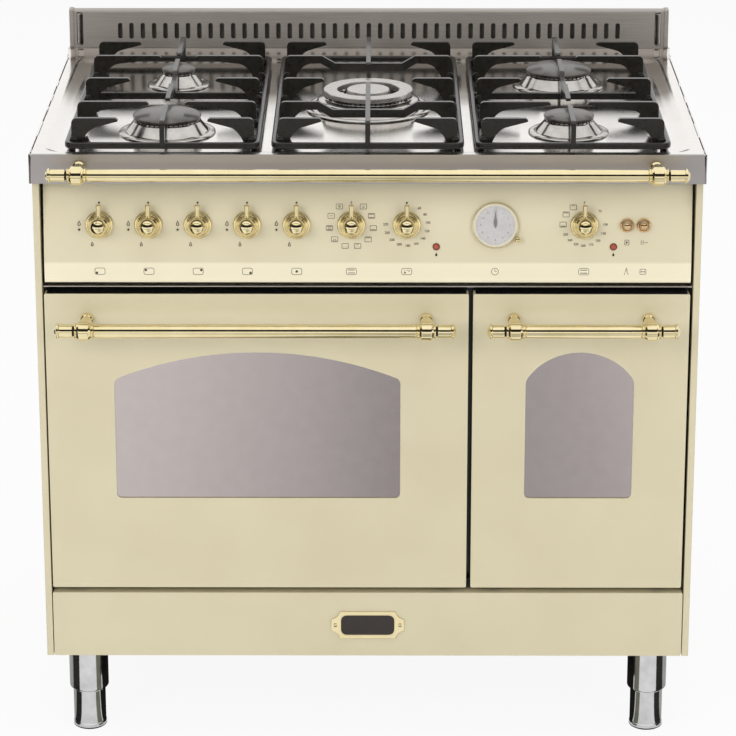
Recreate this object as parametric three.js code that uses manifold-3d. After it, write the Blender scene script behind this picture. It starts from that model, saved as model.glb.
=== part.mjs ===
// A free-standing range cooker, 900 mm wide: a stainless hob with five gas burners over a wide oven and
// a narrow one, with drop-down doors, brass knobs, brass rails and four levelling feet.
// Millimetres. +X is to the right, +Y runs from the front to the back, +Z is up, and the floor is z = 0.
// Inside the group, y = 0 is the front edge of the hob.
import * as THREE from "three";
import { mergeVertices } from "three/addons/utils/BufferGeometryUtils.js";
import Module from "manifold-3d";

const wasm = await Module();
wasm.setup();

// ---- Driving dimensions ---------------------------------------------------------------------------
const WIDTH = 900; // hob, side to side
const DEPTH = 600; // hob, front to back
const HOB_Z = 860; // raised border of the hob above the floor
const REACH = 57.6; // how far the rails stand in front of the hob
const GAP = 0.3; // left between pieces that touch

const SKIRT = 40; // height of the hob's front fold
const WELL_DROP = 5; // pressed well below the border
const WELL = { side: 18, front: 15, back: 44, radius: 26, slope: 6 };
const UPSTAND = { foot: 552, face: 580, height: 9 };

const BODY_X = 447; // outside of the side panels, from the middle
const SHEET = 1.5; // folded side panels
const CHEEK = 9; // visible front fold of a side panel
const BODY_BOTTOM = 135;
const FRONT = 8; // plane of the doors, plinth and panel lip
const DOOR_X = 435.8; // outer edges of the doors

const PANEL = { half: 434, lip: 679.6, crease: 708.4, bend: 798, top: 819.5, lean: 8, wall: 2 };
const DIAL_Z = 758.5; // height of the knob axes on the panel
const KNOBS = [
  ["knob_front_left", -359.4],
  ["knob_rear_left", -293.6],
  ["knob_rear_right", -227.5],
  ["knob_front_right", -161.4],
  ["knob_centre", -95.2],
  ["knob_oven_function", -21.8],
  ["knob_main_thermostat", 52.4],
  ["knob_small_oven", 290.1],
];
const KNOB = { ring: 19.1, step: 15, neck: 7, ball: 11.7, ballAt: 22, pin: 29, pinAt: 13.5, shaft: 3 };
const CLOCK = { x: 170.9, bezel: 30.9, dial: 26.2, depth: 5, knobX: 29.6, knobZ: -18.3, knob: 4.3 };
const LAMPS = [["lamp_main_oven", 92], ["lamp_small_oven", 329.3]];
const LAMP = { z: 729.7, r: 4.7 };
const BUTTONS = [["button_oven_light", 347.2], ["button_oven_fan", 369.5]];
const BUTTON = { ball: 5.6, at: 8, stem: 3 };

const DOOR = { top: 663.8, bottom: 237.7, depth: 44, skin: 2, fold: 18, glass: 4 };
const MAIN = { name: "main", x0: -DOOR_X, x1: 136.2, oven0: -385, oven1: 85, window: 194.35, rise: 39 };
const SMALL = { name: "small", x0: 142.3, x1: 434, oven0: 190, oven1: 386, window: 73.6, rise: 39.2 };
const WINDOW = { bottom: 370, spring: 542, radius: 8 };
const OVEN = { z0: 290, z1: 620, y1: 455, wall: 2, ledges: [370, 440, 510], ledge: 7, rack: 440 };
const HINGE = { y: 20, z: 244, inset: 32, arm: 6, slot: 8, pin: 3 };

const HANDLE = { z: 628.5, y: -45, bar: 9.3, barrel: 12.6 };
const SPAN = { main: { over: 268, post: 228.7 }, small: { over: 128.3, post: 90.8 } };
const RAIL = { z: 843.5, y: -45, bar: 8.4, barrel: 12.6, over: 423.5, post: 382.7 };
const PLINTH = { half: 433.5, top: 229.5, fold: 22 };
const PLATE = { x: 50.5, z: 181.6, tall: 19.9, ear: 7, thick: 1.7 };
const LEG = { x: 396, front: 75, back: 530, sleeve: 27.5, foot: 22.7, split: 60, stem: 8, rise: 40 };

const BACKGUARD = { half: 447, top: 926.5, cheek: 6, rib: 429, sheet: 2 };
const VENTS = { count: 45, half: 371.5, width: 6.7, bottom: 883.2, top: 907 };

const BURNERS = [
  { name: "front_left", x: -274, y: 137, cap: 46.8, skirt: 56, flange: 66 },
  { name: "rear_left", x: -274, y: 407, cap: 24.7, skirt: 35, flange: 45.5 },
  { name: "rear_right", x: 274, y: 407, cap: 47.4, skirt: 57, flange: 66 },
  { name: "front_right", x: 274, y: 137, cap: 34.6, skirt: 44, flange: 55 },
];
const WOK = { x: 0, y: 271.6, ring: 64.1, hole: 43, inner: 30.8, skirt: 75, flange: 89 };
const SEAT = 20; // where the caps sit, above the pressed well
const CROWN_TOP = 23.5; // flat rings of the centre burner, above the hob border

const GRATE = { y0: 26, y1: 534, sideX: 274, sideHalf: 131, midHalf: 129, bar: 8, high: 9, top: 38.5, inset: 9 };
const ROWS = [46.4, 137, 271.8, 407.5, 496]; // fingers, front to back
const MID_BAR = 301;
const FINGER = { thick: 7, tip: 4.5, shortTip: 60, longTip: 25, blade: 6.5 };

const COLOUR = {
  cream: [0xdcd2ac, 0.35, 0.1],
  brass: [0xd9b65a, 0.15, 1],
  steel: [0xb9b4ae, 0.3, 0.9],
  chrome: [0xc9cbcd, 0.1, 1],
  iron: [0x2d2b28, 0.6, 0.3],
  enamel: [0x1b1a19, 0.4, 0.2],
  burner: [0xb5b3b0, 0.25, 0.9],
  cap: [0x5c5954, 0.4, 0.6],
  mirror: [0xa89c9a, 0.05, 0.8],
  dial: [0xe8e4e0, 0.5, 0],
  lamp: [0xa85542, 0.3, 0],
  ink: [0x23211f, 0.5, 0],
};

// ---- Solids: closed meshes joined and cut ----------------------------------------------------------
function solidOf(geometry) {
  const bare = new THREE.BufferGeometry();
  bare.setAttribute("position", geometry.getAttribute("position"));
  if (geometry.index) bare.setIndex(geometry.index);
  const merged = mergeVertices(bare, 1e-4);
  const kept = [];
  const index = merged.index.array;
  for (let i = 0; i < index.length; i += 3) {
    const [a, b, c] = [index[i], index[i + 1], index[i + 2]];
    if (a !== b && b !== c && c !== a) kept.push(a, b, c);
  }
  const vertProperties = new Float32Array(merged.attributes.position.array);
  const make = (list) =>
    new wasm.Manifold(new wasm.Mesh({ numProp: 3, vertProperties, triVerts: new Uint32Array(list) }));
  const made = make(kept);
  return made.volume() < 0 ? make(kept.reverse()) : made;
}

function geometryOf(solid) {
  const mesh = solid.getMesh();
  const geometry = new THREE.BufferGeometry();
  geometry.setAttribute("position", new THREE.BufferAttribute(mesh.vertProperties, 3));
  geometry.setIndex(new THREE.BufferAttribute(mesh.triVerts, 1));
  geometry.computeVertexNormals();
  return geometry;
}

const join = (...parts) => geometryOf(parts.map(solidOf).reduce((a, b) => a.add(b)));
const cut = (body, ...tools) =>
  geometryOf(tools.map(solidOf).reduce((a, b) => a.subtract(b), solidOf(body)));

// ---- Shapes ----------------------------------------------------------------------------------------
function box(x0, x1, y0, y1, z0, z1) {
  const geometry = new THREE.BoxGeometry(x1 - x0, y1 - y0, z1 - z0);
  return geometry.translate((x0 + x1) / 2, (y0 + y1) / 2, (z0 + z1) / 2);
}

function polygon(points) {
  return new THREE.Shape(points.map(([a, b]) => new THREE.Vector2(a, b)));
}

function roundedRect(x0, x1, y0, y1, r, shape = new THREE.Shape()) {
  shape.moveTo(x0 + r, y0);
  shape.lineTo(x1 - r, y0);
  shape.absarc(x1 - r, y0 + r, r, -Math.PI / 2, 0, false);
  shape.lineTo(x1, y1 - r);
  shape.absarc(x1 - r, y1 - r, r, 0, Math.PI / 2, false);
  shape.lineTo(x0 + r, y1);
  shape.absarc(x0 + r, y1 - r, r, Math.PI / 2, Math.PI, false);
  shape.lineTo(x0, y0 + r);
  shape.absarc(x0 + r, y0 + r, r, Math.PI, 1.5 * Math.PI, false);
  return shape;
}

function flat(shape, depth, curveSegments = 4) {
  return new THREE.ExtrudeGeometry(shape, { depth, bevelEnabled: false, curveSegments });
}

// An outline in y and z, drawn out along X.
function alongX(shape, x0, x1, segments) {
  const turn = new THREE.Matrix4().makeBasis(
    new THREE.Vector3(0, 1, 0),
    new THREE.Vector3(0, 0, 1),
    new THREE.Vector3(1, 0, 0),
  );
  return flat(shape, x1 - x0, segments).applyMatrix4(turn).translate(x0, 0, 0);
}

// An outline in x and z, drawn out along Y.
function alongY(shape, y0, y1, segments) {
  return flat(shape, y1 - y0, segments).rotateX(Math.PI / 2).translate(0, y1, 0);
}

function alongZ(shape, z0, z1, segments) {
  return flat(shape, z1 - z0, segments).translate(0, 0, z0);
}

// A turned piece about Z: its outline is a list of radius and height, closed along the axis.
function turned(points, segments = 16) {
  const profile = points.map(([r, h]) => new THREE.Vector2(r, h));
  return new THREE.LatheGeometry(profile, segments).rotateX(Math.PI / 2);
}

function arcPoints(cr, ch, r, from, to, steps) {
  return Array.from({ length: steps + 1 }, (_, i) => {
    const a = THREE.MathUtils.degToRad(from + ((to - from) * i) / steps);
    return [cr + r * Math.cos(a), ch + r * Math.sin(a)];
  });
}

const root = new THREE.Group();
root.position.y = -(DEPTH - REACH) / 2;
const finishes = new Map();

function finish(name) {
  if (!finishes.has(name)) {
    const [color, roughness, metalness] = COLOUR[name];
    finishes.set(name, new THREE.MeshStandardMaterial({ color, roughness, metalness }));
  }
  return finishes.get(name);
}

function add(name, geometry, colour, parent = root) {
  const mesh = new THREE.Mesh(geometry, finish(colour));
  mesh.name = name;
  parent.add(mesh);
  return mesh;
}

// ---- Hob -------------------------------------------------------------------------------------------
function hobTop() {
  const half = WIDTH / 2;
  const floor = HOB_Z - WELL_DROP;
  const sheet = 3;
  const body = box(-half, half, 0, DEPTH, HOB_Z - SKIRT, HOB_Z);
  const inside = box(-half + sheet, half - sheet, sheet, DEPTH - sheet, 0, floor - sheet);
  const { side, front, back, radius } = WELL;
  const outline = roundedRect(-half + side, half - side, front, DEPTH - back, radius);
  const well = new THREE.ExtrudeGeometry(outline, {
    depth: 1,
    bevelThickness: WELL_DROP,
    bevelSize: WELL.slope,
    bevelOffset: -WELL.slope,
    bevelSegments: 1,
    curveSegments: 4,
  }).translate(0, 0, HOB_Z);
  const drill = () => turned([[0, 0], [22, 0], [22, HOB_Z], [0, HOB_Z]], 8);
  const holes = [...BURNERS, WOK].map((b) => drill().translate(b.x, b.y, 0));
  const rise = new THREE.Shape();
  rise.moveTo(UPSTAND.foot, HOB_Z - 2);
  rise.lineTo(UPSTAND.foot, HOB_Z);
  rise.quadraticCurveTo(UPSTAND.face - 4, HOB_Z, UPSTAND.face, HOB_Z + UPSTAND.height);
  rise.lineTo(DEPTH, HOB_Z + UPSTAND.height);
  rise.lineTo(DEPTH, HOB_Z - 2);
  return join(cut(body, inside, well, ...holes), alongX(rise, -half, half, 5));
}

// Upright vents with rounded ends, evenly spaced along the backguard.
function ventHoles() {
  const { count, half, width, bottom, top } = VENTS;
  const r = width / 2;
  const outline = [[-r, bottom + r], [0, bottom], [r, bottom + r], [r, top - r], [0, top], [-r, top - r]];
  return Array.from({ length: count }, (_, i) => {
    const x = -half + (2 * half * i) / (count - 1);
    return new THREE.Path(outline.map(([u, z]) => new THREE.Vector2(x + u, z)));
  });
}

function backguard() {
  const { half, top, cheek, rib, sheet } = BACKGUARD;
  const y0 = UPSTAND.face + 1;
  const bottom = HOB_Z + UPSTAND.height + GAP;
  const face = polygon([[-half, bottom], [half, bottom], [half, top], [-half, top]]);
  face.holes = ventHoles();
  const end = (x0) => alongX(roundedRect(y0 - 2, DEPTH, bottom, top + 1.5, 3), x0, x0 + cheek, 2);
  const swage = polygon([[-5.5, y0 + 0.5], [-3.5, y0 - 2], [3.5, y0 - 2], [5.5, y0 + 0.5]]);
  const ridge = (x) => alongZ(swage, bottom, top - 2).translate(x, 0, 0);
  return join(
    alongY(face, y0, y0 + sheet, 1),
    box(-half, half, y0, DEPTH, top - sheet, top),
    box(-half, half, DEPTH - sheet, DEPTH, bottom, top),
    end(-half),
    end(half - cheek),
    ridge(-rib),
    ridge(rib),
  );
}

// ---- Burners ---------------------------------------------------------------------------------------
const FLOOR = HOB_Z - WELL_DROP + GAP;

// The skirt narrows to the ring that the cap sits on; the stub below goes down through the hob.
function burnerBody(skirt, flange, seat) {
  return turned([
    [0, FLOOR - 14],
    [19, FLOOR - 14],
    [19, FLOOR],
    [flange, FLOOR],
    [flange - 5, FLOOR + 2.6],
    [skirt, FLOOR + 3],
    [seat, FLOOR + SEAT],
    [0, FLOOR + SEAT],
  ], 16);
}

// A domed cap: the wider it is, the higher it stands.
function burnerCap(r) {
  const seat = FLOOR + SEAT + GAP;
  const rim = seat + 3;
  const dome = 3.5 + r * 0.1;
  return turned([
    [0, seat],
    [r - 2.5, seat],
    [r, rim],
    [r * 0.94, rim + dome * 0.34],
    [r * 0.75, rim + dome * 0.66],
    [r * 0.4, rim + dome * 0.92],
    [0, rim + dome],
  ], 16);
}

function wokBody() {
  return turned([
    [0, FLOOR - 14],
    [19, FLOOR - 14],
    [19, FLOOR],
    [WOK.flange, FLOOR],
    [WOK.flange - 6, FLOOR + 2.8],
    [WOK.skirt, FLOOR + 3.2],
    [WOK.ring - 4, FLOOR + SEAT],
    [WOK.hole + 2, FLOOR + SEAT],
    [WOK.hole, FLOOR + 12],
    [WOK.inner - 2, FLOOR + 12],
    [WOK.inner - 4, FLOOR + SEAT],
    [0, FLOOR + SEAT],
  ], 20);
}

function wokRing() {
  const z = HOB_Z + CROWN_TOP;
  const seat = FLOOR + SEAT + GAP;
  return turned([
    [WOK.hole, seat],
    [WOK.ring - 3, seat],
    [WOK.ring, z - 2.6],
    [WOK.ring - 3, z],
    [WOK.hole + 2, z],
    [WOK.hole, z - 1.4],
    [WOK.hole, seat],
  ], 20);
}

function wokLid() {
  const z = HOB_Z + CROWN_TOP;
  const seat = FLOOR + SEAT + GAP;
  const r = WOK.inner;
  return turned([[0, seat], [r - 3, seat], [r, seat + 3], [r, z - 2], [r - 2.4, z], [0, z]], 16);
}

// ---- Pan supports ----------------------------------------------------------------------------------
// A finger's side view: u runs inward from the frame's outer edge, v is the height over the hob border.
// The leg stands a little inside the side bar, on a foot that reaches out to it.
function fingerShape(length) {
  const { inset, top } = GRATE;
  const s = new THREE.Shape();
  s.moveTo(5, 3);
  s.lineTo(5, 8);
  s.lineTo(inset, 12);
  s.lineTo(inset, top - 6);
  s.absarc(inset + 6, top - 6, 6, Math.PI, Math.PI / 2, true);
  s.lineTo(length - 2, top);
  s.lineTo(length, top - 2);
  s.lineTo(length, top - FINGER.tip);
  s.lineTo(44, 27);
  s.quadraticCurveTo(29, 23.5, 21.5, 3);
  return s;
}

// The same for a blade, which stands on the front or rear bar.
function bladeShape(length) {
  const s = new THREE.Shape();
  s.moveTo(0, 3);
  s.lineTo(0, GRATE.top - 6);
  s.absarc(6, GRATE.top - 6, 6, Math.PI, Math.PI / 2, true);
  s.lineTo(length - 2, GRATE.top);
  s.lineTo(length, GRATE.top - 2);
  s.lineTo(length, GRATE.top - FINGER.tip);
  s.lineTo(34, 29.5);
  s.quadraticCurveTo(15, 27, 11, 3);
  return s;
}

// Middle rows of the centre support: one bar that dips under the pan and climbs again.
function dippedShape(half) {
  const dip = 27.5;
  const edge = half - GRATE.inset;
  const s = new THREE.Shape();
  s.moveTo(-half + 5, 3);
  s.lineTo(-half + 5, 8);
  s.lineTo(-edge, 12);
  s.lineTo(-edge, GRATE.top - 6);
  s.absarc(-edge + 6, GRATE.top - 6, 6, Math.PI, Math.PI / 2, true);
  s.lineTo(-half + 62, GRATE.top);
  s.lineTo(-half + 81, dip);
  s.lineTo(half - 81, dip);
  s.lineTo(half - 62, GRATE.top);
  s.lineTo(edge - 6, GRATE.top);
  s.absarc(edge - 6, GRATE.top - 6, 6, Math.PI / 2, 0, true);
  s.lineTo(edge, 12);
  s.lineTo(half - 5, 8);
  s.lineTo(half - 5, 3);
  s.lineTo(half - 21.5, 3);
  s.quadraticCurveTo(half - 29, 24, half - 44, 27);
  s.lineTo(half - 60, 27);
  s.lineTo(half - 80, 15.5);
  s.lineTo(-half + 80, 15.5);
  s.lineTo(-half + 60, 27);
  s.lineTo(-half + 44, 27);
  s.quadraticCurveTo(-half + 29, 24, -half + 21.5, 3);
  return s;
}

function row(shape, y) {
  return alongY(shape, y - FINGER.thick / 2, y + FINGER.thick / 2, 2).translate(0, 0, HOB_Z);
}

function sideFinger(length, half, y, side) {
  const plate = row(fingerShape(length), y).translate(-half, 0, 0);
  return side < 0 ? plate : plate.rotateZ(Math.PI).translate(0, 2 * y, 0);
}

// A blade on the centreline, from the front or the rear bar towards the burner.
function blade(shape, y, back) {
  const plate = alongX(shape, -FINGER.blade / 2, FINGER.blade / 2, 2).translate(0, 0, HOB_Z);
  return back ? plate.rotateZ(Math.PI).translate(0, y, 0) : plate.translate(0, y, 0);
}

function doubleBlade() {
  const shape = polygon([
    [154, GRATE.top - FINGER.tip], [154, GRATE.top - 2], [156, GRATE.top], [240, GRATE.top], [252, 31],
    [304, 31], [312, GRATE.top], [388, GRATE.top], [390, GRATE.top - 2], [390, GRATE.top - FINGER.tip],
    [326, 28], [314, 3], [290, 3], [268, 24], [230, 29],
  ]);
  return alongX(shape, -FINGER.blade / 2, FINGER.blade / 2).translate(0, 0, HOB_Z);
}

function longBladeShape(length, crossing) {
  const s = new THREE.Shape();
  s.moveTo(0, 3);
  s.lineTo(0, GRATE.top - 6);
  s.absarc(6, GRATE.top - 6, 6, Math.PI, Math.PI / 2, true);
  s.lineTo(length - 2, GRATE.top);
  s.lineTo(length, GRATE.top - 2);
  s.lineTo(length, GRATE.top - FINGER.tip);
  s.lineTo(crossing + 6, 26);
  s.lineTo(34, 26);
  s.quadraticCurveTo(15, 24, 11, 3);
  return s;
}

function frameRing(half) {
  const { y0, y1, bar, high } = GRATE;
  const ring = roundedRect(-half, half, y0, y1, 14);
  ring.holes = [roundedRect(-half + bar, half - bar, y0 + bar, y1 - bar, 6, new THREE.Path())];
  return alongZ(ring, HOB_Z, HOB_Z + high, 3);
}

// Pads under the corners of the frame, on the pressed well.
function restFeet(half) {
  const x = half - 9;
  const pad = (cx, cy) => box(cx - 5, cx + 5, cy - 5, cy + 5, FLOOR, HOB_Z + 2);
  return [pad(-x, ROWS[0]), pad(x, ROWS[0]), pad(-x, ROWS[4]), pad(x, ROWS[4])];
}

function sideSupport() {
  const half = GRATE.sideHalf;
  const short = half - FINGER.shortTip;
  const long = half - FINGER.longTip;
  const rows = ROWS.flatMap((y, i) => [-1, 1].map((k) => sideFinger(i % 2 ? long : short, half, y, k)));
  return join(
    frameRing(half),
    ...rows,
    box(-half + 2, half - 2, MID_BAR, MID_BAR + GRATE.bar, HOB_Z, HOB_Z + GRATE.high),
    blade(bladeShape(96), GRATE.y0, false),
    blade(bladeShape(113), GRATE.y1, true),
    doubleBlade(),
    ...restFeet(half),
  );
}

function centreSupport() {
  const half = GRATE.midHalf;
  const short = half - 62;
  const rows = [0, 2, 4].flatMap((i) => [-1, 1].map((k) => sideFinger(short, half, ROWS[i], k)));
  return join(
    frameRing(half),
    ...rows,
    row(dippedShape(half), ROWS[1]),
    row(dippedShape(half), ROWS[3]),
    blade(longBladeShape(224, ROWS[1] - GRATE.y0), GRATE.y0, false),
    blade(longBladeShape(172, GRATE.y1 - ROWS[3]), GRATE.y1, true),
    ...restFeet(half),
  );
}

// ---- Control panel ---------------------------------------------------------------------------------
const faceY = (z) => FRONT + (z - PANEL.crease) * Math.tan(THREE.MathUtils.degToRad(PANEL.lean));

// Everything set square on the leaning face: local +Z points out of the face and local +Y up it.
function onFace(geometry, x, z) {
  const lean = THREE.MathUtils.degToRad(PANEL.lean);
  return geometry.rotateX(Math.PI / 2 - lean).translate(x, faceY(z), z);
}

// A drill for the panel, square to its face.
function hole(r, sides = 6) {
  const reach = 30;
  return turned([[0, -reach], [r, -reach], [r, reach], [0, reach]], sides);
}

function controlPanel() {
  const { half, lip, crease, bend, top, wall } = PANEL;
  const yBend = faceY(bend);
  const outside = [
    [44, lip],
    [FRONT + 2, lip],
    [FRONT, lip + 2],
    [FRONT, crease],
    [yBend, bend],
    [yBend + 4, top],
    [44, top],
  ];
  const inside = [
    [50, lip + wall],
    [FRONT + wall, lip + wall],
    [FRONT + wall, crease],
    [yBend + wall, bend],
    [yBend + wall + 4, top - wall],
    [50, top - wall],
  ];
  const body = alongX(polygon(outside), -half, half);
  const hollow = alongX(polygon(inside), -half + wall, half - wall);
  const knobHoles = KNOBS.map(([, x]) => onFace(hole(KNOB.shaft + 0.8), x, DIAL_Z));
  const buttonHoles = BUTTONS.map(([, x]) => onFace(hole(BUTTON.stem + 0.8), x, DIAL_Z));
  const lampHoles = LAMPS.map(([, x]) => onFace(hole(LAMP.r, 8), x, LAMP.z));
  const clockHole = onFace(hole(20, 10), CLOCK.x, DIAL_Z);
  const setHole = onFace(hole(2.3), CLOCK.x + CLOCK.knobX, DIAL_Z + CLOCK.knobZ);
  return cut(body, hollow, ...knobHoles, ...buttonHoles, ...lampHoles, clockHole, setHole);
}

// A turned brass skirt and ball on a stem, with a round pin that points to the setting.
function knob() {
  const { ring, step, neck, ball, ballAt, pin, pinAt, shaft } = KNOB;
  const body = turned([
    [0, -22],
    [shaft, -22],
    [shaft, 0.5],
    [ring, 0.5],
    [ring - 0.8, 3.2],
    [step, 4],
    [step - 2, 6.8],
    [neck, 8],
    ...arcPoints(0, ballAt, ball, -52, 90, 4),
  ], 10);
  const pointer = turned([[0, 0], [3.1, 0], [3.8, pin - 1.5], [2.6, pin], [0, pin]], 6);
  return join(body, pointer.rotateX(-Math.PI / 2).translate(0, 0, pinAt));
}

function clockCase() {
  const { bezel, dial, depth } = CLOCK;
  return turned([
    [0, -14],
    [18, -14],
    [18, 0.4],
    [bezel, 0.4],
    [bezel, depth - 1.5],
    [bezel - 1.2, depth],
    [dial + 1.2, depth - 0.6],
    [dial, depth - 2],
    [0, depth - 2],
  ], 16);
}

// A leaf-shaped hand, pointing straight up.
function hand(length, width, tail, height) {
  const side = [[width * 0.35, -tail * 0.4], [width / 2, length * 0.35]];
  const other = side.map(([x, y]) => [-x, y]).reverse();
  return alongZ(polygon([[0, -tail], ...side, [0, length], ...other]), height, height + 0.6);
}

function setKnob() {
  const r = CLOCK.knob;
  const stem = [[0, -10], [1.5, -10], [1.5, 1], [3, 1], [3, 2.4], [2, 3]];
  return turned([...stem, ...arcPoints(0, 7, r, -60, 90, 3)], 8);
}

function lamp() {
  const r = LAMP.r;
  return turned([[0, -8], [r - 1, -8], [r - 1, GAP], [r, GAP], [r, 1.4], [r - 1.2, 2.4], [0, 3]], 10);
}

function pushButton() {
  const { ball, at, stem } = BUTTON;
  const neck = [[0, -18], [stem, -18], [stem, at - ball + 1.2]];
  return turned([...neck, ...arcPoints(0, at, ball, -56, 90, 4)], 10);
}

// Tap bodies on one gas pipe behind the panel, each square to its knob.
function gasManifold() {
  const tap = () => box(-12, 12, -15, 15, -58, -22 - 2 * GAP);
  const taps = KNOBS.slice(0, 5).map(([, x]) => onFace(tap(), x, DIAL_Z));
  const middle = onFace(new THREE.BoxGeometry(1, 1, 1).translate(0, 0, -44), 0, DIAL_Z);
  middle.computeBoundingBox();
  const centre = middle.boundingBox.getCenter(new THREE.Vector3());
  const pipe = turned([[0, 0], [9, 0], [9, 370], [0, 370]], 8);
  return join(pipe.rotateY(Math.PI / 2).translate(-BODY_X + SHEET + GAP, centre.y, centre.z), ...taps);
}

// ---- Body ------------------------------------------------------------------------------------------
function sidePanel(side) {
  const x = BODY_X;
  const y1 = DEPTH - 2;
  const outline = [
    [x, FRONT],
    [x, y1],
    [x - 17, y1],
    [x - 17, y1 - SHEET],
    [x - SHEET, y1 - SHEET],
    [x - SHEET, FRONT + SHEET],
    [x - CHEEK + SHEET, FRONT + SHEET],
    [x - CHEEK + SHEET, FRONT + 16],
    [x - CHEEK, FRONT + 16],
    [x - CHEEK, FRONT],
  ].map(([a, b]) => [side * a, b]);
  return alongZ(polygon(outline), BODY_BOTTOM, HOB_Z - SKIRT - GAP);
}

function backPanel() {
  const x = BODY_X - 2;
  return box(-x, x, DEPTH - 2 + GAP, DEPTH - GAP, BODY_BOTTOM + 5, HOB_Z - SKIRT - 2);
}

// Bright bar in the dark gap between the control panel and the doors.
function trimStrip() {
  const x = BODY_X - CHEEK - 1;
  return box(-x, x, FRONT + 10, FRONT + DOOR.depth + 3 - GAP, 672, 675);
}

// Shallow pan that ties the sides together, on the sleeves of the four legs.
function baseFrame() {
  const x = BODY_X - SHEET - GAP;
  const pan = cut(
    box(-x, x, 34, DEPTH - 4, BODY_BOTTOM, BODY_BOTTOM + 30),
    box(-x + 2, x - 2, 36, DEPTH - 6, BODY_BOTTOM + 2, BODY_BOTTOM + 40),
  );
  const { split, sleeve, stem } = LEG;
  const places = [-LEG.x, LEG.x].flatMap((lx) => [[lx, LEG.front], [lx, LEG.back]]);
  const tube = () =>
    turned([
      [0, split + 52],
      [stem + 0.6, split + 52],
      [stem + 0.6, split + GAP],
      [sleeve - 1.5, split + GAP],
      [sleeve, split + 2],
      [sleeve, BODY_BOTTOM + 1],
      [0, BODY_BOTTOM + 1],
    ], 12);
  return join(pan, ...places.map(([lx, ly]) => tube().translate(lx, ly, 0)));
}

function foot() {
  const { foot: r, split, stem, rise } = LEG;
  return turned([
    [0, 0],
    [r - 1, 0],
    [r + 0.8, 1.5],
    [r, 9],
    [r, split],
    [stem, split],
    [stem, split + rise],
    [0, split + rise],
  ], 12);
}

// Black enamelled front: two oven mouths, and arms that carry each door's hinge pins.
function frontFrame() {
  const y0 = FRONT + DOOR.depth + 3;
  const half = BODY_X - CHEEK - 0.6;
  const mouths = [MAIN, SMALL].map((d) => box(d.oven0, d.oven1, 0, 100, OVEN.z0, OVEN.z1));
  const plate = cut(box(-half, half, y0, y0 + 2, 232, 678), ...mouths);
  const arms = hingePlaces().map((x) => {
    const arm = roundedRect(HINGE.y - 5, y0 + 1, HINGE.z - 5, HINGE.z + 5, 4.9);
    return alongX(arm, x - HINGE.arm / 2, x + HINGE.arm / 2, 1);
  });
  const pins = hingePlaces().map((x) => hingePin(x, HINGE.pin, 11));
  return join(plate, ...arms, ...pins);
}

function hingePlaces() {
  return [MAIN, SMALL].flatMap((d) => [d.x0 + HINGE.inset, d.x1 - HINGE.inset]);
}

function hingePin(x, r, reach) {
  const pin = turned([[0, -reach], [r, -reach], [r, reach], [0, reach]], 8);
  return pin.rotateY(Math.PI / 2).translate(x, HINGE.y, HINGE.z);
}

function plinthPanel() {
  const { half, top, fold } = PLINTH;
  return cut(
    box(-half, half, FRONT, FRONT + fold, BODY_BOTTOM, top),
    box(-half + 2, half - 2, FRONT + 2, 90, BODY_BOTTOM + 2, top - 2),
  );
}

// A rectangle whose corners are scooped out, which leaves an ear for a screw at each end.
function nameplate() {
  const { x, z, tall, ear, thick } = PLATE;
  const s = new THREE.Shape();
  const w = x - ear;
  s.moveTo(-w + 5, z - tall);
  s.lineTo(w - 5, z - tall);
  s.quadraticCurveTo(w, z - tall + 6, x - 1, z - 8);
  s.quadraticCurveTo(x + 1, z, x - 1, z + 8);
  s.quadraticCurveTo(w, z + tall - 6, w - 5, z + tall);
  s.lineTo(-w + 5, z + tall);
  s.quadraticCurveTo(-w, z + tall - 6, -x + 1, z + 8);
  s.quadraticCurveTo(-x - 1, z, -x + 1, z - 8);
  s.quadraticCurveTo(-w, z - tall + 6, -w + 5, z - tall);
  return alongY(s, FRONT - GAP - thick, FRONT - GAP, 4);
}

// ---- Ovens -----------------------------------------------------------------------------------------
function ovenLiner(d) {
  const y0 = FRONT + DOOR.depth + 5 + GAP;
  const w = OVEN.wall;
  const shell = cut(
    box(d.oven0 - w, d.oven1 + w, y0, OVEN.y1 + w, OVEN.z0 - w, OVEN.z1 + w),
    box(d.oven0, d.oven1, 0, OVEN.y1, OVEN.z0, OVEN.z1),
  );
  const ledges = OVEN.ledges.flatMap((z) => [
    box(d.oven0 - 1, d.oven0 + OVEN.ledge, y0 + 20, OVEN.y1 - 30, z - 4, z),
    box(d.oven1 - OVEN.ledge, d.oven1 + 1, y0 + 20, OVEN.y1 - 30, z - 4, z),
  ]);
  return join(shell, ...ledges);
}

function ovenRack(d) {
  const z = OVEN.rack + GAP;
  const [x0, x1, y0, y1] = [d.oven0 + 3, d.oven1 - 3, 78, OVEN.y1 - 12];
  const bars = Math.round((x1 - x0) / 48);
  const rods = Array.from({ length: bars - 1 }, (_, i) => {
    const x = x0 + ((x1 - x0) * (i + 1)) / bars;
    return box(x - 1.5, x + 1.5, y0 + 2, y1 - 2, z + 1, z + 4);
  });
  const frame = cut(box(x0, x1, y0, y1, z, z + 5), box(x0 + 5, x1 - 5, y0 + 5, y1 - 5, z - 5, z + 9));
  return join(frame, ...rods);
}

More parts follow.
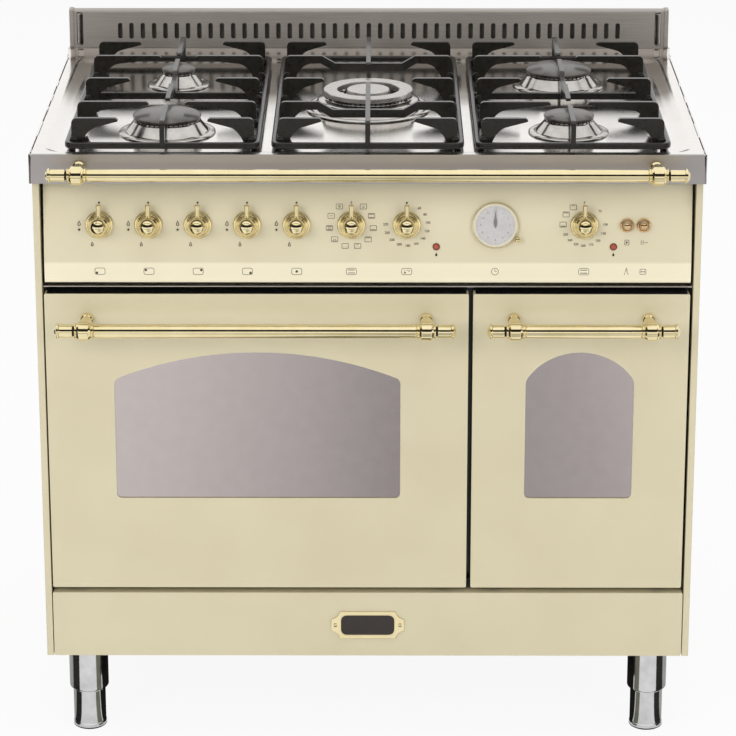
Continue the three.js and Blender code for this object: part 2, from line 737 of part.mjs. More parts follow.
// ---- Doors -----------------------------------------------------------------------------------------
function windowOutline(d, grow, path) {
  const cx = (d.x0 + d.x1) / 2;
  const half = d.window + grow;
  const { bottom, spring, radius } = WINDOW;
  const z0 = bottom - grow;
  const z1 = spring + grow;
  const r = (half * half + d.rise * d.rise) / (2 * d.rise);
  const sweep = Math.asin(half / r);
  path.moveTo(cx - half + radius, z0);
  path.lineTo(cx + half - radius, z0);
  path.absarc(cx + half - radius, z0 + radius, radius, -Math.PI / 2, 0, false);
  path.lineTo(cx + half, z1);
  path.absarc(cx, z1 + d.rise - r, r, Math.PI / 2 - sweep, Math.PI / 2 + sweep, false);
  path.lineTo(cx - half, z0 + radius);
  path.absarc(cx - half + radius, z0 + radius, radius, Math.PI, 1.5 * Math.PI, false);
  return path;
}

function doorPanel(d) {
  const skin = polygon([[d.x0, DOOR.bottom], [d.x1, DOOR.bottom], [d.x1, DOOR.top], [d.x0, DOOR.top]]);
  skin.holes = [windowOutline(d, 0, new THREE.Path())];
  const s = DOOR.skin;
  const fold = cut(
    box(d.x0, d.x1, FRONT + s - 1, FRONT + DOOR.fold, DOOR.bottom, DOOR.top),
    box(d.x0 + s, d.x1 - s, 0, 90, DOOR.bottom + s, DOOR.top - s),
  );
  const slots = [d.x0 + HINGE.inset, d.x1 - HINGE.inset].map((x) =>
    box(x - HINGE.slot, x + HINGE.slot, FRONT + 4, 60, DOOR.bottom - 5, DOOR.bottom + 5),
  );
  return cut(join(alongY(skin, FRONT, FRONT + s, 5), fold), ...slots);
}

function doorGlass(d) {
  const y0 = FRONT + DOOR.skin + GAP;
  return alongY(windowOutline(d, 14, new THREE.Shape()), y0, y0 + DOOR.glass, 5);
}

// Inner door: a folded steel tray with a collared window, slots for the hinge arms and their bearings.
function doorLiner(d) {
  const y0 = FRONT + DOOR.skin + DOOR.glass + 2 * GAP;
  const y1 = FRONT + DOOR.depth;
  const edge = DOOR.skin + GAP;
  const wall = SHEET;
  const [x0, x1, z0, z1] = [d.x0 + edge, d.x1 - edge, DOOR.bottom + edge, DOOR.top - edge];
  const tray = cut(box(x0, x1, y0, y1, z0, z1), box(x0 + wall, x1 - wall, 0, y1 - wall, z0 + wall, z1 - wall));
  const cx = (d.x0 + d.x1) / 2;
  const opening = (grow) => {
    const half = d.window - 8 + grow;
    return roundedRect(cx - half, cx + half, WINDOW.bottom + 8 - grow, WINDOW.spring + 22 + grow, 10);
  };
  const collar = alongY(opening(wall), y0, y1 - wall / 2, 2);
  const places = [d.x0 + HINGE.inset, d.x1 - HINGE.inset];
  const bearings = places.map((x) => box(x - 13, x + 13, y0, HINGE.y + 9, z0 + wall / 2, HINGE.z + 9));
  const room = HINGE.arm / 2 + 0.6;
  const slots = places.map((x) => box(x - room, x + room, 0, 90, 0, HINGE.z + 46));
  const bores = places.map((x) => hingePin(x, HINGE.pin + 0.35, 11.5));
  return cut(join(tray, collar, ...bearings), alongY(opening(0), 0, 90, 2), ...slots, ...bores);
}

// ---- Brass rails -----------------------------------------------------------------------------------
// One half of a turned bar, from the middle out: bar, ring, chamfered barrel, ring, finial, ring, cap.
function halfBar(bar, barrel, post, over) {
  const ring = bar + 1.3;
  return [
    [bar, post - 14],
    [ring, post - 13.5],
    [ring, post - 11],
    [barrel, post - 6.5],
    [barrel, post + 6.5],
    [ring, post + 11],
    [ring, post + 13.5],
    [bar, post + 14],
    [bar, over - 6],
    [ring, over - 5.5],
    [ring, over - 2.5],
    [bar - 3.5, over],
    [0, over],
  ];
}

// A bar on two round posts that stand out from the face behind it.
function rail(bar, barrel, post, over, x, y, z, face) {
  const half = halfBar(bar, barrel, post, over);
  const profile = [...half.map(([r, h]) => [r, -h]).reverse(), ...half];
  const rod = turned(profile, 8).rotateY(Math.PI / 2);
  const reach = face - GAP - y;
  const outline = [[0, 0], [7.5, 0], [7.5, reach - 9], [9.2, reach - 5], [9.2, reach], [0, reach]];
  const leg = () => turned(outline, 8).rotateX(-Math.PI / 2);
  return join(rod, leg().translate(-post, 0, 0), leg().translate(post, 0, 0)).translate(x, y, z);
}

// ---- Assembly --------------------------------------------------------------------------------------
add("hob_top", hobTop(), "steel");
add("backguard", backguard(), "steel");
add("left_side_panel", sidePanel(-1), "cream");
add("right_side_panel", sidePanel(1), "cream");
add("back_panel", backPanel(), "steel");
add("base_frame", baseFrame(), "chrome");
add("front_frame", frontFrame(), "enamel");
add("control_panel", controlPanel(), "cream");
add("trim_strip", trimStrip(), "steel");
add("plinth_panel", plinthPanel(), "cream");
add("nameplate", nameplate(), "brass");
add("gas_manifold", gasManifold(), "burner");

for (const b of BURNERS) {
  add("burner_body_" + b.name, burnerBody(b.skirt, b.flange, b.cap - 1.5).translate(b.x, b.y, 0), "burner");
  add("burner_cap_" + b.name, burnerCap(b.cap).translate(b.x, b.y, 0), "cap");
}
add("burner_body_centre", wokBody().translate(WOK.x, WOK.y, 0), "burner");
add("burner_ring_centre", wokRing().translate(WOK.x, WOK.y, 0), "cap");
add("burner_inner_cap_centre", wokLid().translate(WOK.x, WOK.y, 0), "cap");

add("pan_support_left", sideSupport().translate(-GRATE.sideX, 0, 0), "iron");
add("pan_support_centre", centreSupport(), "iron");
add("pan_support_right", sideSupport().translate(GRATE.sideX, 0, 0), "iron");

for (const [name, x] of KNOBS) add(name, onFace(knob(), x, DIAL_Z), "brass");
add("clock_case", onFace(clockCase(), CLOCK.x, DIAL_Z), "dial");
add("clock_hour_hand", onFace(hand(13, 5, 3, CLOCK.depth - 1.6), CLOCK.x, DIAL_Z), "ink");
add("clock_minute_hand", onFace(hand(18.4, 3.4, 3.6, CLOCK.depth - 0.6), CLOCK.x, DIAL_Z), "ink");
add("clock_set_knob", onFace(setKnob(), CLOCK.x + CLOCK.knobX, DIAL_Z + CLOCK.knobZ), "brass");
for (const [name, x] of LAMPS) add(name, onFace(lamp(), x, LAMP.z), "lamp");
for (const [name, x] of BUTTONS) add(name, onFace(pushButton(), x, DIAL_Z), "brass");

add("hob_rail", rail(RAIL.bar, RAIL.barrel, RAIL.post, RAIL.over, 0, RAIL.y, RAIL.z, 0), "brass");

for (const d of [MAIN, SMALL]) {
  const cx = (d.x0 + d.x1) / 2;
  const { bar, barrel, y, z } = HANDLE;
  const { post, over } = SPAN[d.name];
  add(d.name + "_door_panel", doorPanel(d), "cream");
  add(d.name + "_door_glass", doorGlass(d), "mirror");
  add(d.name + "_door_liner", doorLiner(d), "steel");
  add(d.name + "_door_handle", rail(bar, barrel, post, over, cx, y, z, FRONT), "brass");
  add(d.name + "_oven_liner", ovenLiner(d), "enamel");
  add(d.name + "_oven_rack", ovenRack(d), "chrome");
}

for (const [side, x] of [["left", -LEG.x], ["right", LEG.x]]) {
  add("foot_front_" + side, foot().translate(x, LEG.front, 0), "chrome");
  add("foot_rear_" + side, foot().translate(x, LEG.back, 0), "chrome");
}

export default root;
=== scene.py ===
import math

import bmesh
import bpy
from mathutils import Matrix, Vector


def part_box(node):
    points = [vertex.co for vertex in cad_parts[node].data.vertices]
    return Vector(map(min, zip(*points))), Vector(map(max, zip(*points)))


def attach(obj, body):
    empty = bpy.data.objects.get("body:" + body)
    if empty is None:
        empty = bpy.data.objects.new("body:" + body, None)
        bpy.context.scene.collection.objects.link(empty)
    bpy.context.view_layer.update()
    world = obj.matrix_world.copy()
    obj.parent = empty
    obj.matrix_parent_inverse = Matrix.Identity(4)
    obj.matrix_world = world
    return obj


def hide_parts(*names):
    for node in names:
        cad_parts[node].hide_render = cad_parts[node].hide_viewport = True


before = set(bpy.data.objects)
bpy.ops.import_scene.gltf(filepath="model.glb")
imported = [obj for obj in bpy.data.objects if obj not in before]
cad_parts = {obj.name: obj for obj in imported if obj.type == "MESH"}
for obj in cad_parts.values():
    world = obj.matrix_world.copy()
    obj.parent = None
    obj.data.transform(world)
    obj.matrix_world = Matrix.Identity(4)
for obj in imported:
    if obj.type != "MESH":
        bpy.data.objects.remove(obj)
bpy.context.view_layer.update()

scene = bpy.context.scene
scene.view_settings.view_transform = "Standard"

# ---- Viewpoint -------------------------------------------------------------------------------------
# The photograph looks down on the cooker from about four metres in front of it.
# A small lens shift stands in for the view camera that kept the uprights parallel.
PICTURE = 736  # pixels, both ways
FOCAL = 3204  # pixels
AXIS_ROW = 300  # picture row on the lens axis
eye = Vector((0.0134, -4.374, 1.9636))
pitch, yaw = math.radians(17.65), math.radians(0.18)

lens = bpy.data.cameras.new("photo_camera")
lens.sensor_width = 36
lens.lens = FOCAL / PICTURE * lens.sensor_width
lens.shift_y = (AXIS_ROW - PICTURE / 2) / PICTURE
camera = bpy.data.objects.new("photo_camera", lens)
camera.location = eye
camera.rotation_euler = (math.pi / 2 - pitch, 0, yaw)
scene.collection.objects.link(camera)
scene.camera = camera

# ---- Studio ----------------------------------------------------------------------------------------
# A pale floor under large soft lamps. Dark cards, seen only in gloss, draw the thin dark lines that
# polished brass and chrome show.
def blank(name):
    material = bpy.data.materials.new(name)
    material.use_nodes = True
    tree = material.node_tree
    return material, tree.nodes, tree.links, tree.nodes["Principled BSDF"]


def seen_directly(nodes, links):
    """1 for rays from the lens, from gloss and through glass, and 0 for the light on other things."""
    path = nodes.new("ShaderNodeLightPath")
    total = path.outputs["Is Camera Ray"]
    for name in ("Is Glossy Ray", "Is Transmission Ray"):
        plus = nodes.new("ShaderNodeMath")
        plus.operation = "MAXIMUM"
        links.new(total, plus.inputs[0])
        links.new(path.outputs[name], plus.inputs[1])
        total = plus.outputs[0]
    return total


def flat_panel(name, width, height, place, facing):
    """A rectangle centred on a place, turned to face a point."""
    mesh = bpy.data.meshes.new(name)
    w, h = width / 2, height / 2
    turn = (Vector(place) - Vector(facing)).to_track_quat("Z", "Y").to_matrix().to_4x4()
    where = Matrix.Translation(place) @ turn
    corners = [where @ Vector(c) for c in ((-w, -h, 0), (w, -h, 0), (w, h, 0), (-w, h, 0))]
    mesh.from_pydata(corners, [], [(0, 3, 2, 1)])
    panel = bpy.data.objects.new(name, mesh)
    scene.collection.objects.link(panel)
    return panel


floor_paint, nodes, links, shader = blank("floor_paint")
shader.inputs["Base Color"].default_value = (0.86, 0.86, 0.86, 1)
shader.inputs["Roughness"].default_value = 0.9
shader.inputs["Specular IOR Level"].default_value = 0.0
glow = nodes.new("ShaderNodeEmission")
glow.inputs["Strength"].default_value = 1.0
path = nodes.new("ShaderNodeLightPath")
white_share = nodes.new("ShaderNodeMapRange")
white_share.inputs["To Min"].default_value = 0.6
white_share.inputs["To Max"].default_value = 0.92
links.new(path.outputs["Is Camera Ray"], white_share.inputs["Value"])
only_seen = nodes.new("ShaderNodeMath")
only_seen.operation = "MULTIPLY"
links.new(white_share.outputs[0], only_seen.inputs[0])
links.new(seen_directly(nodes, links), only_seen.inputs[1])
blend = nodes.new("ShaderNodeMixShader")
links.new(only_seen.outputs[0], blend.inputs[0])
links.new(shader.outputs[0], blend.inputs[1])
links.new(glow.outputs[0], blend.inputs[2])
links.new(blend.outputs[0], nodes["Material Output"].inputs["Surface"])
floor = flat_panel("floor", 30, 30, (0, 0, -0.0002), (0, 0, 5))
floor.data.flip_normals()
floor.data.materials.append(floor_paint)

scene.world = bpy.data.worlds.new("studio_air")
scene.world.use_nodes = True
nodes, links = scene.world.node_tree.nodes, scene.world.node_tree.links
soft = nodes["Background"]
soft.inputs["Color"].default_value = (1, 1, 1, 1)
soft.inputs["Strength"].default_value = 0.42
white = nodes.new("ShaderNodeBackground")
white.inputs["Strength"].default_value = 1.3
blend = nodes.new("ShaderNodeMixShader")
links.new(seen_directly(nodes, links), blend.inputs[0])
links.new(soft.outputs[0], blend.inputs[1])
links.new(white.outputs[0], blend.inputs[2])
links.new(blend.outputs[0], nodes["World Output"].inputs["Surface"])

LAMPS = {
    "key_lamp": ((-2.4, -3.8, 2.5), 2.4, 74),
    "fill_lamp": ((2.9, -3.4, 1.8), 2.2, 40),
    "top_lamp": ((0.2, -0.6, 3.6), 2.6, 40),
    "rear_lamp": ((0.4, 3.2, 2.6), 2.0, 22),
}
for name, (place, size, watts) in LAMPS.items():
    light = bpy.data.lights.new(name, "AREA")
    light.size = size
    light.energy = watts
    lamp = bpy.data.objects.new(name, light)
    lamp.location = place
    lamp.rotation_euler = (Vector((0, 0, 0.5)) - Vector(place)).to_track_quat("-Z", "Y").to_euler()
    lamp.visible_glossy = False
    scene.collection.objects.link(lamp)


def card(name, quads, material):
    """Rectangles that only gloss can see, each given by its corners."""
    mesh = bpy.data.meshes.new(name)
    corners = [corner for quad in quads for corner in quad]
    mesh.from_pydata(corners, [], [tuple(range(i, i + 4)) for i in range(0, len(corners), 4)])
    mesh.materials.append(material)
    sheet = bpy.data.objects.new(name, mesh)
    scene.collection.objects.link(sheet)
    sheet.visible_camera = False
    sheet.visible_diffuse = False
    sheet.visible_transmission = False
    sheet.visible_shadow = False


def bearing(radius, degrees, centre=(0, 0)):
    """A place on the floor at a bearing from a centre: 0 is towards the lens, 90 to the right."""
    a = math.radians(degrees)
    return centre[0] + radius * math.sin(a), centre[1] - radius * math.cos(a)


def screen(start, end, low, high):
    """An upright screen around the cooker, four metres off, between two bearings."""
    stops = [bearing(4.0, start + (end - start) * i / 16) for i in range(17)]
    return [((*p, low), (*q, low), (*q, high), (*p, high)) for p, q in zip(stops, stops[1:])]


def floor_quad(x0, x1, y0, y1):
    return [((x0, y0, 0.001), (x1, y0, 0.001), (x1, y1, 0.001), (x0, y1, 0.001))]


card_black, nodes, links, shader = blank("card_black")
shader.inputs["Base Color"].default_value = (0.02, 0.018, 0.016, 1)
shader.inputs["Roughness"].default_value = 1.0
card("high_screen", screen(-104, 88, 1.4, 4.2), card_black)
card("left_screen", screen(-118, -70, 0.0, 1.4), card_black)
card("right_screen", screen(82, 94, 0.0, 1.4), card_black)


def fan(centre, near, far, start, end):
    """A flat fan on the floor around a centre, between two bearings."""
    stops = [start + (end - start) * i / 4 for i in range(5)]
    return [[(*bearing(r, d, centre), 0.001) for r, d in ((near, a), (far, a), (far, b), (near, b))]
            for a, b in zip(stops, stops[1:])]


def glowing(name, hue, strength):
    material, nodes, links, shader = blank(name)
    shader.inputs["Base Color"].default_value = (0, 0, 0, 1)
    shader.inputs["Emission Color"].default_value = (*hue, 1)
    shader.inputs["Emission Strength"].default_value = strength
    return material


# Painted reflections: black fans on the floor to the left and right, and round each foot black, glowing mid
# grey and glowing olive fans, all seen only in gloss, draw the dark and light bands on the chrome feet and
# the brass.
card_mid = glowing("card_mid", (0.96, 1, 0.94), 0.36)
card_olive = glowing("card_olive", (1, 1, 0.72), 0.15)
card("left_floor", fan((0, -0.2), 0.7, 4.0, -118, -60), card_black)
card("right_floor", fan((0, -0.2), 0.7, 4.0, 74, 92), card_black)
for side in (-1, 1):
    foot = (side * 0.396, -0.196)
    card("foot_fan", fan(foot, 0.03, 0.6, side * 50, side * 97), card_black)
    card("foot_fan", fan(foot, 0.03, 0.6, side * 97, side * 180), card_mid)
    card("foot_fan", fan(foot, 0.03, 0.6, -side * 46, -side * 76), card_olive)
    card("foot_fan", fan(foot, 0.03, 0.6, -side * 82, -side * 180), card_black)

# Painted reflection for the mirrored windows: a glowing sheet on the floor, seen only in gloss, graded from
# light at the left to darkest near the middle and paler again at the right, with a dim glowing sheet beyond
# it.
card_grey, nodes, links, shader = blank("card_grey")
shader.inputs["Base Color"].default_value = (0, 0, 0, 1)
shader.inputs["Emission Strength"].default_value = 1.0
place = nodes.new("ShaderNodeTexCoord")
across = nodes.new("ShaderNodeSeparateXYZ")
spread = nodes.new("ShaderNodeMapRange")
spread.inputs["From Min"].default_value = -0.6
spread.inputs["From Max"].default_value = 0.6
tones = nodes.new("ShaderNodeValToRGB")
tones.color_ramp.elements.remove(tones.color_ramp.elements[1])
for x, tone in ((-0.6, 0.93), (-0.35, 0.8), (-0.12, 0.6), (0.06, 0.4), (0.3, 0.5), (0.4, 0.56), (0.5, 0.68)):
    stop = tones.color_ramp.elements.new((x + 0.6) / 1.2)
    stop.color = (tone, tone, tone, 1)
tones.color_ramp.elements.remove(tones.color_ramp.elements[0])
links.new(place.outputs["Object"], across.inputs[0])
links.new(across.outputs["X"], spread.inputs["Value"])
links.new(spread.outputs["Result"], tones.inputs["Fac"])
links.new(tones.outputs["Color"], shader.inputs["Emission Color"])
card("window_sheet", floor_quad(-1.4, 1.4, -2.5, -0.8), card_grey)
card("far_sheet", floor_quad(-2.4, 2.4, -4.6, -2.5), glowing("card_dim", (0.96, 0.96, 1), 0.26))

# ---- Hob top ---------------------------------------------------------------------------------------
# One stainless sheet, pressed to a shallow well inside a level border, folded down all round and
# swept up at the back. Its grain runs from side to side.
MM = 0.001
hob_low, hob_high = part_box("hob_top")
HOB_FRONT = hob_low.y
BORDER = hob_low.z + 0.040  # level border, above the floor
HOB_HALF = hob_high.x
WELL_FLOOR = BORDER - 0.005


def tint(hue):
    """An sRGB colour, 0 to 255, as the linear values that a shader takes."""
    return [((c / 255 + 0.055) / 1.055) ** 2.4 for c in hue] + [1]


def grain(nodes, links, size, stretch=(1, 1, 1), detail=4.0, seed=0.0):
    """Noise with features of a given size in metres, drawn out along an axis by a small stretch."""
    place = nodes.new("ShaderNodeTexCoord")
    scale = nodes.new("ShaderNodeMapping")
    scale.inputs["Scale"].default_value = stretch
    scale.inputs["Location"].default_value = (seed, seed, seed)
    noise = nodes.new("ShaderNodeTexNoise")
    noise.inputs["Scale"].default_value = 1 / size
    noise.inputs["Detail"].default_value = detail
    links.new(place.outputs["Object"], scale.inputs["Vector"])
    links.new(scale.outputs["Vector"], noise.inputs["Vector"])
    return noise.outputs["Fac"]


def between(nodes, links, value, low, high):
    """Noise, which stays mostly between 0.3 and 0.7, spread over a range."""
    spread = nodes.new("ShaderNodeMapRange")
    spread.inputs["From Min"].default_value = 0.3
    spread.inputs["From Max"].default_value = 0.7
    spread.inputs["To Min"].default_value = low
    spread.inputs["To Max"].default_value = high
    links.new(value, spread.inputs["Value"])
    return spread.outputs["Result"]


def shades(nodes, links, value, dark, light):
    """A colour that goes from a dark to a light shade as the noise does."""
    ramp = nodes.new("ShaderNodeValToRGB")
    ramp.color_ramp.elements[0].position = 0.3
    ramp.color_ramp.elements[1].position = 0.7
    ramp.color_ramp.elements[0].color = tint(dark)
    ramp.color_ramp.elements[1].color = tint(light)
    links.new(value, ramp.inputs["Fac"])
    return ramp.outputs["Color"]


def relief(nodes, links, shader, *layers):
    """Bump layers on one another: each is noise and its depth in metres."""
    under = None
    for value, depth in layers:
        bump = nodes.new("ShaderNodeBump")
        bump.inputs["Distance"].default_value = depth
        links.new(value, bump.inputs["Height"])
        if under:
            links.new(under, bump.inputs["Normal"])
        under = bump.outputs["Normal"]
    links.new(under, shader.inputs["Normal"])


def stainless(name, dark, light, rough, along=(0.02, 1, 1), metal=1.0):
    """Brushed steel: fine lines one way, cloudy gloss and the slight waves of pressed sheet."""
    material, nodes, links, shader = blank(name)
    lines = grain(nodes, links, 0.0012, along, 3)
    cloud = grain(nodes, links, 0.09, (1, 1, 1), 2, 3.1)
    wave = grain(nodes, links, 0.16, (1, 1, 1), 0, 7.7)
    shader.inputs["Metallic"].default_value = metal
    links.new(shades(nodes, links, lines, dark, light), shader.inputs["Base Color"])
    links.new(between(nodes, links, cloud, rough - 0.05, rough + 0.05), shader.inputs["Roughness"])
    relief(nodes, links, shader, (lines, 0.0000008), (wave, 0.00002))
    return material


def shaded_from(material, reading, start, end, hue, duller=0.0):
    """Paints light and shade into a material: turns its colour to a lighter or darker one, and dulls it, as
    the height of a place ("Object") or the upward share of its direction ("Normal") goes from one value to
    another."""
    nodes, links = material.node_tree.nodes, material.node_tree.links
    place = nodes.new("ShaderNodeTexCoord")
    upwards = nodes.new("ShaderNodeSeparateXYZ")
    below = nodes.new("ShaderNodeMapRange")
    below.inputs["From Min"].default_value = start
    below.inputs["From Max"].default_value = end
    other = nodes.new("ShaderNodeMix")
    other.data_type = "RGBA"
    other.inputs["B"].default_value = tint(hue)
    rougher = nodes.new("ShaderNodeMath")
    rougher.operation = "MULTIPLY_ADD"
    rougher.inputs[1].default_value = duller
    base, gloss = (nodes["Principled BSDF"].inputs[label] for label in ("Base Color", "Roughness"))
    links.new(place.outputs[reading], upwards.inputs[0])
    links.new(upwards.outputs["Z"], below.inputs["Value"])
    links.new(below.outputs["Result"], other.inputs["Factor"])
    links.new(base.links[0].from_socket, other.inputs["A"])
    links.new(other.outputs["Result"], base)
    links.new(below.outputs["Result"], rougher.inputs[0])
    links.new(gloss.links[0].from_socket, rougher.inputs[2])
    links.new(rougher.outputs[0], gloss)


def piece(name, mesh, material, body, slot, *nodes, sharp=35):
    """A finished piece: its mesh and material, the body it rides on, and the CAD nodes it stands for."""
    mesh.name = name
    mesh.shade_smooth()
    mesh.set_sharp_from_angle(angle=math.radians(sharp))
    mesh.materials.clear()
    mesh.materials.append(material)
    made = bpy.data.objects.new(name, mesh)
    scene.collection.objects.link(made)
    made.modifiers.new("true_flats", "WEIGHTED_NORMAL").keep_sharp = True
    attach(made, body)
    if nodes:
        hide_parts(*nodes)
    return made


def ease_edges(made, width, segments=2, angle=30):
    """Rounds the sharp edges of a finished piece."""
    ease = made.modifiers.new("eased_edges", "BEVEL")
    ease.width = width
    ease.segments = segments
    ease.limit_method = "ANGLE"
    ease.angle_limit = math.radians(angle)
    made.modifiers.move(len(made.modifiers) - 1, 0)
    return made


def lines_between(*stretches):
    """Grid lines over stretches of (start, end, step), each end shared with the next start."""
    marks = []
    for start, end, step in stretches:
        count = max(1, round((end - start) / step))
        marks += [start + (end - start) * i / count for i in range(count)]
    return marks + [stretches[-1][1]]


def smoothly(t):
    t = min(1.0, max(0.0, t))
    return t * t * (3 - 2 * t)


def pressed_height(x, y):
    """Height of the sheet over its border, in millimetres, at a place measured from the front edge."""
    side, front, back, radius, slope = 15, 12, 44, 28, 20
    half_x, half_y = 450 - side, (600 - front - back) / 2
    dx = abs(x) - (half_x - radius)
    dy = abs(y - (front + half_y)) - (half_y - radius)
    outside = math.hypot(max(dx, 0), max(dy, 0)) + min(max(dx, dy), 0) - radius
    lift = max(0.0, min(1.0, (y - 553) / 27))
    return -5 * smoothly(-outside / slope) + 9 * lift * lift * (1.6 - 0.6 * lift)


def hob_sheet():
    xs = lines_between((-450, -398, 1.6), (-398, 398, 14), (398, 450, 1.6))
    ys = lines_between((0, 50, 1.6), (50, 535, 14), (535, 600, 1.5))
    bm = bmesh.new()
    grid = [[bm.verts.new((x * MM, y * MM + HOB_FRONT, BORDER + pressed_height(x, y) * MM)) for x in xs]
            for y in ys]
    for low, high in zip(grid, grid[1:]):
        for i in range(len(xs) - 1):
            bm.faces.new((low[i], low[i + 1], high[i + 1], high[i]))
    rim = [e for e in bm.edges if e.is_boundary]
    folded = bmesh.ops.extrude_edge_only(bm, edges=rim)["geom"]
    for vert in (g for g in folded if isinstance(g, bmesh.types.BMVert)):
        vert.co.z = hob_low.z
    corners = [e for e in bm.edges if e.is_valid and abs(e.verts[0].co.z - e.verts[1].co.z) > 0.03
               and abs(abs(e.verts[0].co.x) - HOB_HALF) < 1e-5
               and min(abs(e.verts[0].co.y - HOB_FRONT), abs(e.verts[0].co.y - hob_high.y)) < 1e-5]
    bmesh.ops.bevel(bm, geom=rim + corners, offset=0.0032, segments=4, profile=0.5, affect="EDGES")
    bmesh.ops.recalc_face_normals(bm, faces=bm.faces)
    mesh = bpy.data.meshes.new("hob_sheet")
    bm.to_mesh(mesh)
    return mesh


hob_steel = stainless("hob_steel", (232, 228, 223), (240, 237, 232), 0.15)
# Painted shade: where the sheet turns away from facing up, on its rounded edges and down its folds, the steel
# is painted a darker grey and dulled.
shaded_from(hob_steel, "Normal", 0.7, 0.4, (198, 192, 190), 0.3)
hob = piece("hob_sheet", hob_sheet(), hob_steel, "chassis", "hob_steel", "hob_top", sharp=60)
wall = hob.modifiers.new("wall", "SOLIDIFY")
wall.thickness = 0.0012
wall.offset = -1
hob.modifiers.move(1, 0)

# ---- Backguard -------------------------------------------------------------------------------------
# A folded stainless box behind the hob, pierced by a row of upright vents, with a round-ended
# bead near each end and a cheek that closes the fold. A dark sheet of painted shade stands behind the vents.
back_low, back_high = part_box("backguard")
BACK_FACE = HOB_FRONT + 0.581
VENT = {"count": 45, "half": 0.3715, "width": 0.0067, "low": 0.8832, "high": 0.907}


def eased(points, radius, steps=4, closed=False):
    """An outline with its corners rounded off."""
    result = []
    for i, here in enumerate(points):
        here = Vector(here)
        if not closed and i in (0, len(points) - 1):
            result.append(tuple(here))
            continue
        before, after = Vector(points[i - 1]), Vector(points[(i + 1) % len(points)])
        start = here.lerp(before, min(0.45, radius / max((before - here).length, 1e-9)))
        end = here.lerp(after, min(0.45, radius / max((after - here).length, 1e-9)))
        for k in range(steps + 1):
            t = k / steps
            result.append(tuple(start.lerp(here, t).lerp(here.lerp(end, t), t)))
    return result


def taken_from(holder):
    """The finished mesh of a passing object, which is then removed."""
    scene.collection.objects.link(holder)
    mesh = bpy.data.meshes.new_from_object(holder.evaluated_get(bpy.context.evaluated_depsgraph_get()))
    bpy.data.objects.remove(holder)
    return mesh


def plate(outlines, thick, rounded=0.0):
    """A flat plate, drawn by its outline and those of its holes, from z = 0 up to its thickness."""
    curve = bpy.data.curves.new("plate", "CURVE")
    curve.dimensions = "2D"
    curve.fill_mode = "BOTH"
    curve.extrude = thick / 2 - rounded
    curve.bevel_depth = rounded
    curve.bevel_resolution = 3
    curve.offset = -rounded
    for outline in outlines:
        spline = curve.splines.new("POLY")
        spline.points.add(len(outline) - 1)
        for point, (u, v) in zip(spline.points, outline):
            point.co = (u, v, 0, 1)
        spline.use_cyclic_u = True
    mesh = taken_from(bpy.data.objects.new("plate", curve))
    mesh.transform(Matrix.Translation((0, 0, thick / 2)))
    bm = bmesh.new()
    bm.from_mesh(mesh)
    bmesh.ops.remove_doubles(bm, verts=bm.verts, dist=1e-6)
    bmesh.ops.dissolve_limit(bm, angle_limit=0.01, verts=bm.verts, edges=bm.edges)
    bmesh.ops.recalc_face_normals(bm, faces=bm.faces)
    bm.to_mesh(mesh)
    bm.free()
    return mesh


def rectangle(x0, x1, y0, y1, radius=0.0, steps=4):
    corners = [(x0, y0), (x1, y0), (x1, y1), (x0, y1)]
    return eased(corners, radius, steps, closed=True) if radius else corners


STANDING = Matrix.Rotation(math.pi / 2, 4, "X")  # an upright plate: its thickness comes forwards
ACROSS = Matrix(((0, 0, 1, 0), (1, 0, 0, 0), (0, 1, 0, 0), (0, 0, 0, 1)))  # a side view drawn out along X


def upright(outlines, thick, front):
    """A plate that faces the front of the cooker, its face at y = front."""
    mesh = plate(outlines, thick)
    mesh.transform(Matrix.Translation((0, front + thick, 0)) @ STANDING)
    return mesh


def drawn_across(outline, x0, x1):
    mesh = plate([outline], x1 - x0)
    mesh.transform(Matrix.Translation((x0, 0, 0)) @ ACROSS)
    return mesh


def merged(*meshes):
    """One mesh from several."""
    bm = bmesh.new()
    for mesh in meshes:
        bm.from_mesh(mesh)
    whole = bpy.data.meshes.new("merged")
    bm.to_mesh(whole)
    bm.free()
    return whole


def fused(*meshes):
    """One closed shell from overlapping ones."""
    holders = [bpy.data.objects.new("part", mesh) for mesh in meshes]
    rest = bpy.data.collections.new("rest")
    scene.collection.children.link(rest)
    scene.collection.objects.link(holders[0])
    for holder in holders[1:]:
        rest.objects.link(holder)
    union = holders[0].modifiers.new("union", "BOOLEAN")
    union.operation = "UNION"
    union.solver = "MANIFOLD"
    union.operand_type = "COLLECTION"
    union.collection = rest
    evaluated = holders[0].evaluated_get(bpy.context.evaluated_depsgraph_get())
    mesh = bpy.data.meshes.new_from_object(evaluated)
    for holder in holders:
        bpy.data.objects.remove(holder)
    bpy.data.collections.remove(rest)
    return mesh


def grower(name, *inputs):
    """An empty node tree with named inputs, its input node and the socket of its result."""
    tree = bpy.data.node_groups.new(name, "GeometryNodeTree")
    tree.interface.new_socket("Geometry", in_out="INPUT", socket_type="NodeSocketGeometry")
    for label, kind in inputs:
        tree.interface.new_socket(label, in_out="INPUT", socket_type="NodeSocket" + kind)
    tree.interface.new_socket("Geometry", in_out="OUTPUT", socket_type="NodeSocketGeometry")
    return tree, tree.nodes.new("NodeGroupInput"), tree.nodes.new("NodeGroupOutput").inputs["Geometry"]


def grown(tree, host, **values):
    """The mesh that a tree makes of a host mesh, with the values of its named inputs."""
    holder = bpy.data.objects.new("host", host)
    grow = holder.modifiers.new("grow", "NODES")
    grow.node_group = tree
    for item in tree.interface.items_tree:
        if item.in_out == "INPUT" and item.name in values:
            grow[item.identifier] = values[item.name]
    return taken_from(holder)


def aside(mesh):
    """An object outside the scene that only lends its mesh to a tree."""
    return bpy.data.objects.new("lent", mesh)


